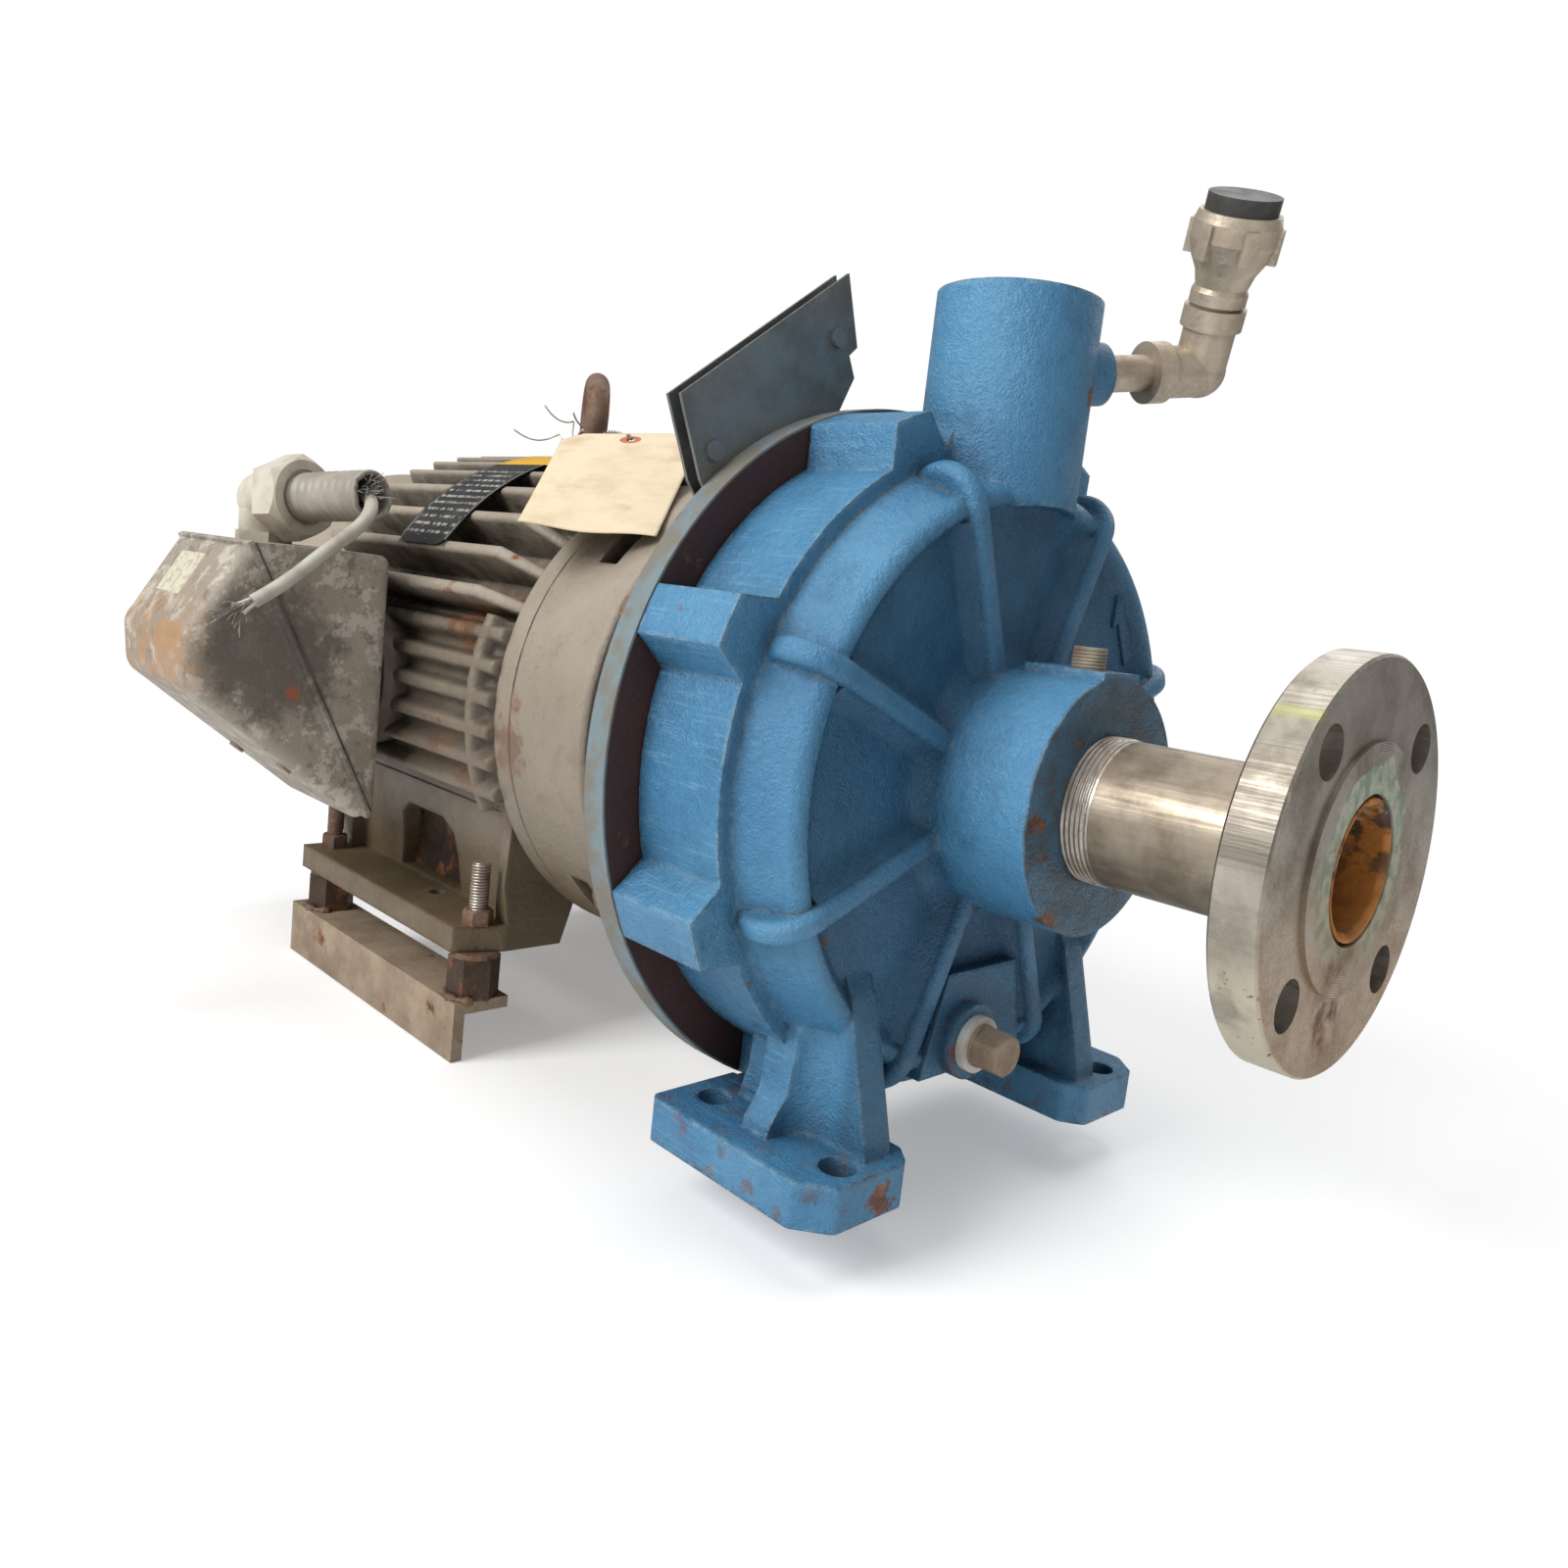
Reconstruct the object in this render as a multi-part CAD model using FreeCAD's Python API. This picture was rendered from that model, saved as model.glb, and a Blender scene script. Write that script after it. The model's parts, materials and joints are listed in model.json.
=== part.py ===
import FreeCAD, Part
import math
import os

# Close-coupled end-suction centrifugal pump on a finned electric motor.
# Millimetres. X runs along the shaft and out of the suction flange, Z is up.
# Every shape is drawn about the shaft axis, and is raised to the base plane when it is written.
# The origin is the centre of the four holes in the pump's feet, on the face that they stand on.

Vector = FreeCAD.Vector
X_AXIS = Vector(1, 0, 0)
Y_AXIS = Vector(0, 1, 0)
Z_AXIS = Vector(0, 0, 1)

# Heights over the base
shaft_height = 165.0
motor_shaft_height = 133.35

# Two inch class 150 suction flange and nipple
flange_radius = 76.2
flange_thickness = 17.5
raised_face_radius = 46.0
raised_face_height = 1.6
flange_bolt_circle = 120.65
flange_hole_radius = 9.525
flange_hole_count = 4
suction_face_x = 176.3
pipe_radius = 30.16
pipe_bore = 26.2
nipple_thread_depth = 19.0
socket_clearance = 0.05

# Volute casing
boss_front_x = 72.5
boss_radius = 54.0
boss_pad_height = 56.0
boss_pad_half_width = 13.5
casing_back_x = -49.7
drum_front_x = -1.2
drum_radius = 144.5
band_foot_radius = 138.5
band_crest_x = 24.5
band_crest_radius = 126.0
panel_x = 19.0
panel_outer_radius = 117.0
panel_root_radius = 62.0
casing_wall = 8.5
casing_bore = 129.0
lobe_count = 8
lobe_first_angle = 22.5
lobe_radius = 161.0
lobe_half_top = 10.5
lobe_half_base = 20.0
rib_width = 10.0
rib_rise = 15.0
rib_crest_x = 29.0
rib_skirt_half_width = 13.0
suction_passage = 26.0

# Discharge neck
neck_x = -2.9
neck_radius = 35.8
neck_top = 208.5
neck_bottom = 96.0
neck_bore = 20.5
neck_thread_radius = 23.1
neck_thread_depth = 26.0

# Pump feet
foot_hole_spacing_x = 73.2
foot_hole_spacing_y = 192.4
foot_hole_radius = 7.94
foot_thickness = 19.0
foot_front_x = 49.0
foot_rear_x = -52.5
foot_inner_y = 61.0
foot_outer_y = 120.0
leg_web_thickness = 15.0
gusset_thickness = 15.0
leg_corner_radius = 15.0

# Pad and the two small ports of the casing
drain_pad_x = 26.0
gauge_port_x = 56.3
gauge_plug_radius = 6.85
drain_port_z = -113.0
drain_port_y = -10.0
drain_boss_radius = 17.0
drain_boss_x = 32.5
drain_plug_radius = 9.6
drain_plug_hex = 17.5
drain_plug_neck = 6.0
drain_plug_head = 13.0
tape_width = 4.0
tape_radius = 12.6

# Vent nipple, elbow and coupling on the side of the neck
vent_azimuth = 64.0
vent_tilt = 11.0
vent_port_z = 176.0
vent_pipe_radius = 8.0
vent_pipe_bore = 5.6
vent_elbow_distance = 97.0
vent_lean = 25.5
vent_collar_radius = 13.6
vent_arm = 29.0
vent_socket_depth = 10.5
vent_cap_height = 58.0
vent_cap_stem_radius = 12.7
vent_cap_radius = 15.5

# Bracket between casing and motor
disc_radius = 161.3
disc_thickness = 12.7
gasket_thickness = 0.8
spigot_clearance = 0.1
spigot_length = 3.0
bracket_barrel_radius = 108.0
bracket_wall = 10.0
motor_face_x = -131.0
bracket_flange_radius = 114.3
bracket_flange_thickness = 14.0
bracket_window_half_angle = 38.0
casing_bolt_circle_radius = 152.0
casing_bolt_radius = 4.76
casing_bolt_hex = 14.3
casing_bolt_head = 6.2

# Motor with its finned frame
motor_register_radius = 107.95
motor_register_height = 4.0
motor_bolt_circle_radius = 92.07
motor_bolt_radius = 6.35
motor_bolt_hex = 19.05
motor_bolt_head = 8.0
motor_lug_thickness = 10.0
bell_radius = 125.0
bell_skirt = 13.0
bell_skirt_gap = 0.4
seam_x = -179.7
frame_rear_x = -430.0
frame_shell_radius = 114.0
frame_collar_length = 14.0
stator_radius = 102.0
stator_bore = 61.0
air_gap = 0.5
core_front_x = -225.0
core_length = 135.0
fin_tip_radius = 140.0
fin_pitch = 7.2
fin_thickness = 4.6
fin_end_slope = 14.0
fin_crest_share = 0.4
top_fin_count = 9
shoulder_fin_count = 4
shoulder_first_angle = 127.0
shoulder_pitch = 9.6
shoulder_fin_thickness = 6.5
shoulder_slope = 26.0
side_rib_count = 6
side_first_angle = 163.3
side_pitch = 7.4
side_rib_thickness = 7.0
side_rib_radius = 129.0
cross_rib_x = -212.0
cross_rib_width = 8.0
motor_hole_front_x = -222.4
motor_hole_spacing_x = 177.8
motor_hole_spacing_y = 215.9
motor_hole_radius = 5.2
motor_foot_thickness = 14.0
motor_foot_outer_y = 123.0
motor_foot_inner_y = 76.0
motor_foot_overhang = 11.0
fan_cover_length = 104.0
fan_cover_radius = 127.0
fan_cover_wall = 2.0
cover_screw_x = frame_rear_x - 5.0
cover_screw_radius = 2.6
cover_screw_head_radius = 5.5
cover_screw_head = 3.0

# Shaft, bearings, impeller, seal and fan
shaft_pump_radius = 15.87
shaft_shoulder_radius = 22.2
shaft_core_radius = 27.0
front_bearing_bore = 22.5
front_bearing_outer = 50.0
front_bearing_width = 25.0
front_bearing_x = -166.0
rear_bearing_bore = 15.0
rear_bearing_outer = 31.0
rear_bearing_width = 16.0
rear_bearing_x = -452.0
race_share = 0.24
bearing_clearance = 0.05
impeller_radius = 94.0
impeller_outlet_width = 12.0
impeller_shroud = 4.0
impeller_back_x = -16.0
impeller_blade_count = 6
impeller_eye_radius = 27.0
impeller_hub_radius = 24.0
eye_ring_clearance = 0.3
sleeve_radius = 19.0
seal_face_clearance = 0.1
shaft_step = 24.0
key_width = 6.3
key_depth = 3.0
key_rise = 2.5
blade_thickness = 4.0
blade_end_sweep = 62.0
blade_middle_sweep = 22.0
impeller_washer_thickness = 3.0
impeller_screw_hex = 17.0
impeller_screw_head = 7.5
seal_room = 9.0
seal_seat_half = 4.0
seal_ring_length = 4.0
seal_band_length = 2.0
seal_coil_count = 3
slinger_setback = 14.0
slinger_length = 8.0
slinger_radius = 40.0
fan_setback = 34.0
fan_hub_length = 24.0
fan_hub_radius = 28.0
fan_disc_thickness = 3.0
fan_radius = 92.0
fan_blade_thickness = 3.0
fan_blade_width = 23.0
fan_blade_count = 7
fan_shaft_reach = 62.0
cover_slot_rings = (34.0, 52.0, 70.0, 88.0)
cover_slot_length = 9.0
cover_slot_width = 7.0
cover_slot_count = 12

# Foot hardware, spacers and rails
foot_stud_radius = 4.76
stud_recess = 0.5
foot_nut_hex = 14.3
foot_nut_height = 8.3
front_stud_rise = 33.0
rear_stud_rise = 48.0
spacer_hex = 24.0
spacer_washer_radius = 13.0
spacer_washer_thickness = 3.0
rail_leg = 31.75
rail_thickness = 6.35
rail_outer_y = 124.0
rail_front_x = -211.5
rail_rear_x = -420.0

# Conduit box on the side of the motor
box_front_x = -283.7
box_length = 98.0
box_wall = 4.0
box_inner_y = -141.0
box_top_z = 68.0
box_split_y = -209.0
box_nose_y = -241.0
box_nose_high_z = 21.0
box_nose_low_z = -4.0
box_bottom_z = -70.0
box_lip_width = 3.0
box_lip_height = 1.5
box_gasket = 1.6
box_edge_radius = 9.0
box_nose_radius = 12.0
box_end_radius = 8.0
box_screw_head_radius = 4.2
box_screw_head = 1.6
box_screw_share = 0.62
box_neck_radius = 34.0
box_pad_y = -135.0
box_entry_radius = 17.0

# Conduit connector, cut stub of conduit and the loose cable
connector_centre = Vector(box_front_x - 81.3, box_split_y + 33.8, box_top_z + 23.2)
connector_azimuth = 18.0
connector_tilt = 5.0
connector_body_radius = 14.5
connector_hub_radius = 13.0
connector_seat_hex = 27.0
connector_thread_radius = 10.9
connector_nut_hex = 41.0
connector_nut_start = 15.0
connector_nut_length = 17.0
stub_radius = 13.3
stub_bore = 10.6
stub_end = 82.0
cable_radius = 3.5

# Eyebolt, plates and tag on the motor
eyebolt_x = -312.7
eyebolt_wire_radius = 7.0
eyebolt_ring_radius = 19.0
eyebolt_seat = 136.0
eyebolt_turn = 150.0
lifting_boss_radius = 16.0
guard_thickness = 1.5
guard_gap = 8.0
plate_thickness = 0.8
plate_seat = 0.3
plate_front_x = -270.0
plate_width = 53.0
plate_first_angle = 115.0
plate_last_angle = 147.0
tag_corner = Vector(-262.4, -53.4, 146.0)
tag_across = Vector(0.70, 0.70, 0.11)
tag_down = Vector(0.672, -0.606, -0.43)
tag_width = 78.0
tag_length = 128.0
tag_clip = 11.0
tag_thickness = 0.5
tag_hole_inset = 11.0
tag_hole_radius = 2.5


def direction(azimuth, tilt):
    """Unit vector at an azimuth from +X towards +Y and a tilt above level, in degrees."""
    a = math.radians(azimuth)
    t = math.radians(tilt)
    return Vector(math.cos(a) * math.cos(t), math.sin(a) * math.cos(t), math.sin(t))


def rod(x_start, x_end, radius, y=0.0, z=0.0):
    """Cylinder along the shaft's direction between two stations."""
    low = min(x_start, x_end)
    return Part.makeCylinder(radius, abs(x_end - x_start), Vector(low, y, z), X_AXIS)


def tube(x_start, x_end, outer, inner):
    """Ring about the shaft axis between two stations."""
    low = min(x_start, x_end)
    high = max(x_start, x_end)
    return rod(low, high, outer).cut(rod(low - 1, high + 1, inner))


def turned(profile):
    """Solid turned about the shaft axis from (x, radius) points."""
    points = [Vector(x, 0, r) for x, r in profile]
    face = Part.Face(Part.makePolygon(points + points[:1]))
    return face.revolve(Vector(0, 0, 0), X_AXIS, 360)


def hexagon(centre, axis, across_flats, height, turn=0.0):
    """Hexagonal prism that starts at a centre and rises along an axis."""
    radius = across_flats / math.sqrt(3)
    corners = []
    for k in range(7):
        a = math.radians(60 * k + turn)
        corners.append(Vector(radius * math.cos(a), radius * math.sin(a), 0))
    prism = Part.Face(Part.makePolygon(corners)).extrude(Vector(0, 0, height))
    prism.Placement = FreeCAD.Placement(centre, FreeCAD.Rotation(Z_AXIS, axis))
    return prism


def chamfered_hexagon(centre, axis, across_flats, height, turn=0.0):
    """Hexagon whose corners are turned off at its far end, as on a nut."""
    prism = hexagon(centre, axis, across_flats, height, turn)
    corner = across_flats / math.sqrt(3)
    drop = (corner - across_flats / 2) * 1.2
    body = Part.makeCylinder(corner + 1, height - drop, centre, axis)
    cap_base = centre + axis * (height - drop)
    cap = Part.makeCone(corner + 0.01, across_flats / 2 * 0.97, drop, cap_base, axis)
    return prism.common(body.fuse(cap))


def prism_x(points, x_start, x_end):
    """Solid drawn from (y, z) points and extruded along the shaft."""
    wire = Part.makePolygon([Vector(x_start, y, z) for y, z in points + points[:1]])
    return Part.Face(wire).extrude(Vector(x_end - x_start, 0, 0))


def prism_y(points, y_start, y_end):
    """Solid drawn from (x, z) points and extruded across the shaft."""
    wire = Part.makePolygon([Vector(x, y_start, z) for x, z in points + points[:1]])
    return Part.Face(wire).extrude(Vector(0, y_end - y_start, 0))


def prism_z(points, z_start, z_end):
    """Solid drawn from (x, y) points and extruded upwards."""
    wire = Part.makePolygon([Vector(x, y, z_start) for x, y in points + points[:1]])
    return Part.Face(wire).extrude(Vector(0, 0, z_end - z_start))


def box(x0, x1, y0, y1, z0, z1):
    return Part.makeBox(x1 - x0, y1 - y0, z1 - z0, Vector(x0, y0, z0))


def about_shaft(shape, angle):
    """Copy turned about the shaft, the angle counted from +Y towards +Z."""
    copy = shape.copy()
    copy.rotate(Vector(0, 0, 0), X_AXIS, angle)
    return copy


def around(shape, count, first=0.0):
    return [about_shaft(shape, first + 360.0 * k / count) for k in range(count)]


def mirrored(shape):
    return shape.mirror(Vector(0, 0, 0), Y_AXIS)


def soften(shape, radius, chosen):
    """Fillet the edges that a test picks out."""
    edges = [edge for edge in shape.Edges if chosen(edge)]
    return shape.makeFillet(radius, edges)


def along_x(edge):
    start = edge.Vertexes[0].Point
    end = edge.Vertexes[-1].Point
    return abs(start.y - end.y) < 0.01 and abs(start.z - end.z) < 0.01 and abs(start.x - end.x) > 0.5


def along_z(edge):
    start = edge.Vertexes[0].Point
    end = edge.Vertexes[-1].Point
    return abs(start.x - end.x) < 0.01 and abs(start.y - end.y) < 0.01 and abs(start.z - end.z) > 0.5


def casing_shell():
    """Turned outside of the casing: drum, rounded volute band, panel and suction boss."""
    drum = turned([(casing_back_x, 0), (casing_back_x, drum_radius), (drum_front_x, drum_radius),
                   (drum_front_x, 0)])
    band_start = Vector(drum_front_x - 1, 0, band_foot_radius)
    band_middle = Vector(band_crest_x - 7, 0, band_crest_radius + 5)
    crest = Vector(band_crest_x, 0, band_crest_radius - 3)
    panel_edge = Vector(panel_x, 0, panel_outer_radius)
    panel_root = Vector(panel_x, 0, panel_root_radius)
    boss_root = Vector(panel_x + 9, 0, boss_radius)
    root_middle = Vector(panel_x + 2.6, 0, boss_radius + 2.6)
    boss_edge = Vector(boss_front_x, 0, boss_radius)
    boss_middle = Vector(boss_front_x, 0, 0)
    base = Vector(drum_front_x - 1, 0, 0)
    wire = Part.Wire([
        Part.makeLine(base, band_start),
        Part.makeLine(band_start, band_middle),
        Part.Arc(band_middle, Vector(band_crest_x - 1, 0, band_crest_radius + 1.5), crest).toShape(),
        Part.makeLine(crest, panel_edge),
        Part.makeLine(panel_edge, panel_root),
        Part.Arc(panel_root, root_middle, boss_root).toShape(),
        Part.makeLine(boss_root, boss_edge),
        Part.makeLine(boss_edge, boss_middle),
        Part.makeLine(boss_middle, base)])
    front = Part.Face(wire).revolve(Vector(0, 0, 0), X_AXIS, 360)
    return drum.fuse(front)


def casing_lobe():
    """One bolt lobe along the drum, pointing up before it is turned to its place."""
    base = drum_radius - 6
    profile = [(-lobe_half_base, base), (-lobe_half_base * 0.86, drum_radius - 0.5),
               (-lobe_half_top - 2.5, lobe_radius - 7), (-lobe_half_top, lobe_radius),
               (lobe_half_top, lobe_radius), (lobe_half_top + 2.5, lobe_radius - 7),
               (lobe_half_base * 0.86, drum_radius - 0.5), (lobe_half_base, base)]
    lobe = prism_x(profile, casing_back_x, drum_front_x)
    return lobe.common(rod(casing_back_x, drum_front_x, lobe_radius))


def casing_rib():
    """One radiating rib with a rounded crest that swells over the volute band."""
    half = rib_width / 2
    shoulder_radius = band_crest_radius - 2
    rib_outer_radius = band_crest_radius + rib_rise
    rise = rib_outer_radius - shoulder_radius
    run = rib_crest_x - drum_front_x - 3
    bend = (run ** 2 + rise ** 2) / (2 * run)
    corner = Vector(drum_front_x + 3, -half, rib_outer_radius)
    shoulder = Vector(rib_crest_x, -half, shoulder_radius)
    centre = Vector(rib_crest_x - bend, -half, shoulder_radius)
    outward = ((corner - centre).normalize() + (shoulder - centre).normalize()).normalize()
    root = Vector(rib_crest_x, -half, boss_radius - 6)
    base = Vector(drum_front_x - 3, -half, boss_radius - 6)
    end = Vector(drum_front_x - 3, -half, rib_outer_radius - 6)
    wire = Part.Wire([
        Part.Arc(corner, centre + outward * bend, shoulder).toShape(),
        Part.makeLine(shoulder, root),
        Part.makeLine(root, base),
        Part.makeLine(base, end),
        Part.makeLine(end, corner)])
    rib = Part.Face(wire).extrude(Vector(0, rib_width, 0))
    return soften(rib, rib_width * 0.36, lambda edge: edge.BoundBox.YLength < 0.01
                  and edge.BoundBox.XMin > corner.x - 0.1)


def casing_rib_skirt():
    """Sloping flanks that blend one rib into the panel on both sides."""
    half = rib_width / 2 - 1
    crest = rib_crest_x - 3
    return prism_z([(panel_x - 2, -rib_skirt_half_width), (crest, -half), (crest, half),
                    (panel_x - 2, rib_skirt_half_width)], boss_radius - 6, panel_outer_radius + 3)


def casing_leg():
    """Foot, web and gusset on the side towards +Y."""
    bottom = -shaft_height
    top = bottom + foot_thickness
    foot = prism_z([(foot_rear_x, foot_inner_y), (foot_rear_x, foot_outer_y),
                    (foot_front_x - 14, foot_outer_y), (foot_front_x, foot_outer_y - 12),
                    (foot_front_x, foot_inner_y + 8), (foot_front_x - 10, foot_inner_y)], bottom, top)
    foot = soften(foot, 5.0, along_z)
    web_x = neck_x - leg_web_thickness / 2
    web_outline = [(foot_inner_y + 2, bottom + 1), (foot_outer_y - 12, bottom + 1),
                   (foot_outer_y - 16, top + 4), (foot_outer_y - 24, top + 16),
                   (foot_outer_y - 27, -92), (foot_outer_y - 16, -78), (60, -60), (44, -118),
                   (foot_inner_y - 6, top + 8)]
    web = prism_x(web_outline, web_x, web_x + leg_web_thickness)
    gusset_y = foot_inner_y + 9
    gusset_outline = [(foot_rear_x + 12, bottom + 1), (foot_front_x - 5, bottom + 1),
                      (foot_front_x - 9, top + 6), (24, -84), (14, -66), (-26, -66),
                      (-30, top + 14)]
    gusset_end = gusset_y + gusset_thickness
    gusset = prism_y(gusset_outline, gusset_y, gusset_end)
    wide_web = prism_x(web_outline, foot_rear_x, foot_front_x)
    wide_gusset = prism_y(gusset_outline, 0, foot_outer_y)
    size = leg_corner_radius
    corners = []
    for x, start in ((web_x + leg_web_thickness + size, web_x + leg_web_thickness - 1), (web_x - size, web_x - size)):
        block = box(start, start + size + 1, gusset_end - 1, gusset_end + size, bottom + 2, -60)
        hollow = Part.makeCylinder(size, 200, Vector(x, gusset_end + size, bottom), Z_AXIS)
        corners.append(block.cut(hollow).common(wide_web).common(wide_gusset))
    return foot.fuse([web, gusset] + corners)


def casing_drain_pad():
    """Low pad between the two lowest ribs, from which the drain boss rises."""
    reach = drain_boss_radius + 8
    top = drain_port_z + drain_boss_radius + 14
    bottom = drain_port_z - drain_boss_radius + 2
    return prism_x([(-reach, top), (reach, top), (reach + 12, bottom), (-reach - 12, bottom)],
                   drum_front_x, drain_pad_x)


def volute_casing():
    """Cast casing, with its lobes, ribs, feet, neck and ports."""
    body = casing_shell()
    lobes = around(casing_lobe(), lobe_count, lobe_first_angle)
    ribs = around(casing_rib(), lobe_count, lobe_first_angle)
    ribs += around(casing_rib_skirt(), lobe_count, lobe_first_angle)
    neck = Part.makeCylinder(neck_radius, neck_top - neck_bottom, Vector(neck_x, 0, neck_bottom), Z_AXIS)
    neck = neck.cut(rod(panel_x, neck_x + neck_radius + 1, panel_outer_radius + 4))
    neck_root = prism_x([(-52, 112), (-neck_radius + 1, 150), (neck_radius - 1, 150), (52, 112)],
                        casing_back_x, drum_front_x)
    pad = box(gauge_port_x - 22, boss_front_x, -boss_pad_half_width, boss_pad_half_width, 40,
              boss_pad_height)
    port_axis = direction(vent_azimuth, vent_tilt)
    port_root = Vector(neck_x, 0, vent_port_z)
    vent_boss = Part.makeCylinder(vent_collar_radius, neck_radius + 9, port_root, port_axis)
    drain_base = Vector(drum_front_x, drain_port_y, drain_port_z)
    drain_boss = Part.makeCylinder(drain_boss_radius, drain_boss_x - drum_front_x, drain_base, X_AXIS)
    leg = casing_leg()
    body = body.fuse(lobes + ribs + [neck, neck_root, pad, vent_boss, drain_boss, casing_drain_pad(), leg,
                                     mirrored(leg)])

    cavity_front = panel_x - casing_wall
    cavity_radius = band_foot_radius - casing_wall
    hollow = turned([(casing_back_x - 1, 0), (casing_back_x - 1, casing_bore),
                     (drum_front_x, cavity_radius - 2), (cavity_front, band_crest_radius - casing_wall),
                     (cavity_front, 0)])
    suction = rod(cavity_front - 1, boss_front_x + 1, suction_passage)
    eye_seat = rod(cavity_front - 1, cavity_front + 6,
                   impeller_eye_radius + impeller_shroud + eye_ring_clearance)
    socket = rod(boss_front_x - nipple_thread_depth, boss_front_x + 1, pipe_radius + socket_clearance)
    outlet = Part.makeCylinder(neck_bore, neck_top, Vector(neck_x, 0, 90), Z_AXIS)
    thread = Part.makeCylinder(neck_thread_radius, neck_thread_depth + 1,
                               Vector(neck_x, 0, neck_top - neck_thread_depth), Z_AXIS)
    port = Part.makeCylinder(vent_pipe_radius + socket_clearance, 14,
                             port_root + port_axis * (neck_radius - 3), port_axis)
    port_hole = Part.makeCylinder(vent_pipe_bore, 20, port_root + port_axis * 18, port_axis)
    gauge = Part.makeCylinder(gauge_plug_radius + socket_clearance, boss_pad_height,
                              Vector(gauge_port_x, 0, boss_pad_height - 12), Z_AXIS)
    drain = rod(drain_boss_x - 14, drain_boss_x + 1, drain_plug_radius + socket_clearance,
                drain_port_y, drain_port_z)
    drain_hole = rod(0, drain_boss_x, drain_plug_radius - 4, drain_port_y, drain_port_z)
    drain_room = rod(drain_boss_x, drain_boss_x + 30, tape_radius + 1.5, drain_port_y, drain_port_z)
    holes = [hollow, suction, eye_seat, socket, outlet, thread, port, port_hole, gauge, drain, drain_hole,
             drain_room]
    for side in (-1, 1):
        for end in (-1, 1):
            centre = Vector(end * foot_hole_spacing_x / 2, side * foot_hole_spacing_y / 2,
                            -shaft_height - 1)
            holes.append(Part.makeCylinder(foot_hole_radius, foot_thickness + 30, centre, Z_AXIS))
    bolt = rod(casing_back_x - 1, casing_back_x + 24, casing_bolt_radius + socket_clearance,
               casing_bolt_circle_radius, 0)
    holes += around(bolt, lobe_count, lobe_first_angle)
    holes.append(rod(foot_rear_x - 1, disc_front_x + 0.5, disc_radius + 1.5))
    return body.cut(holes)


def casing_gasket():
    """Flat gasket between the casing and the bracket's disc."""
    return tube(casing_back_x - gasket_thickness, casing_back_x, drum_radius - 1,
                casing_bore + spigot_clearance)


disc_front_x = casing_back_x - gasket_thickness
disc_back_x = disc_front_x - disc_thickness


def bracket():
    """Cast bracket: disc, spigot, windowed barrel and the flange that meets the motor."""
    spigot = casing_bore - spigot_clearance
    seal_bore = sleeve_radius + seal_room
    profile = [(disc_front_x + spigot_length, seal_bore), (disc_front_x + spigot_length, spigot),
               (disc_front_x, spigot), (disc_front_x, disc_radius), (disc_back_x, disc_radius),
               (disc_back_x, bracket_barrel_radius + 8), (disc_back_x - 8, bracket_barrel_radius),
               (motor_face_x + bracket_flange_thickness, bracket_barrel_radius),
               (motor_face_x + bracket_flange_thickness, bracket_flange_radius),
               (motor_face_x, bracket_flange_radius),
               (motor_face_x, motor_register_radius + socket_clearance),
               (motor_face_x + motor_register_height + 1, motor_register_radius + socket_clearance),
               (motor_face_x + motor_register_height + 1, motor_bolt_circle_radius - 16),
               (motor_face_x + bracket_flange_thickness, motor_bolt_circle_radius - 16),
               (motor_face_x + bracket_flange_thickness + 2, bracket_barrel_radius - bracket_wall),
               (disc_back_x - 2, bracket_barrel_radius - bracket_wall), (disc_back_x, 60),
               (disc_back_x - 14, seal_bore + 12), (disc_back_x - 14, seal_bore)]
    body = turned(profile)
    half = math.radians(bracket_window_half_angle)
    reach = disc_radius * 1.5
    spread = reach * math.tan(half)
    window = prism_x([(10, 0), (reach, spread), (reach, -spread)],
                     motor_face_x + bracket_flange_thickness + 4, disc_back_x - 12)
    holes = [window, mirrored(window)]
    bolt = rod(disc_back_x - 1, disc_front_x + 1, casing_bolt_radius + 0.4, casing_bolt_circle_radius, 0)
    holes += around(bolt, lobe_count, lobe_first_angle)
    motor_bolt = rod(motor_face_x - 1, motor_face_x + bracket_flange_thickness + 1,
                     motor_bolt_radius + socket_clearance, motor_bolt_circle_radius, 0)
    holes += around(motor_bolt, 4, 45)
    for y, z in guard_foot_places:
        holes.append(rod(disc_back_x - 1, disc_back_x + guard_screw_depth + 0.5, guard_screw_radius + 0.1, y, z))
    return body.cut(holes)


def casing_bolts():
    """Eight hexagon screws through the disc's back into the casing's lobes."""
    screws = []
    head = chamfered_hexagon(Vector(disc_back_x, casing_bolt_circle_radius, 0), Vector(-1, 0, 0),
                             casing_bolt_hex, casing_bolt_head)
    stem = rod(disc_back_x, casing_back_x + 22, casing_bolt_radius, casing_bolt_circle_radius, 0)
    screw = head.fuse(stem)
    for turned_screw in around(screw, lobe_count, lobe_first_angle):
        screws.append(turned_screw)
    return Part.makeCompound(screws)


def bracket_bolts():
    """Four screws from the pockets of the motor's bell into the bracket's flange."""
    seat = motor_face_x - motor_lug_thickness
    head = chamfered_hexagon(Vector(seat, motor_bolt_circle_radius, 0), Vector(-1, 0, 0), motor_bolt_hex,
                             motor_bolt_head)
    stem = rod(seat, motor_face_x + bracket_flange_thickness, motor_bolt_radius,
               motor_bolt_circle_radius, 0)
    return Part.makeCompound(around(head.fuse(stem), 4, 45))


def suction_nipple():
    """Straight pipe nipple from the suction boss to the flange."""
    start = boss_front_x - nipple_thread_depth + 0.5
    return tube(start, suction_face_x - 4, pipe_radius, pipe_bore)


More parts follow.
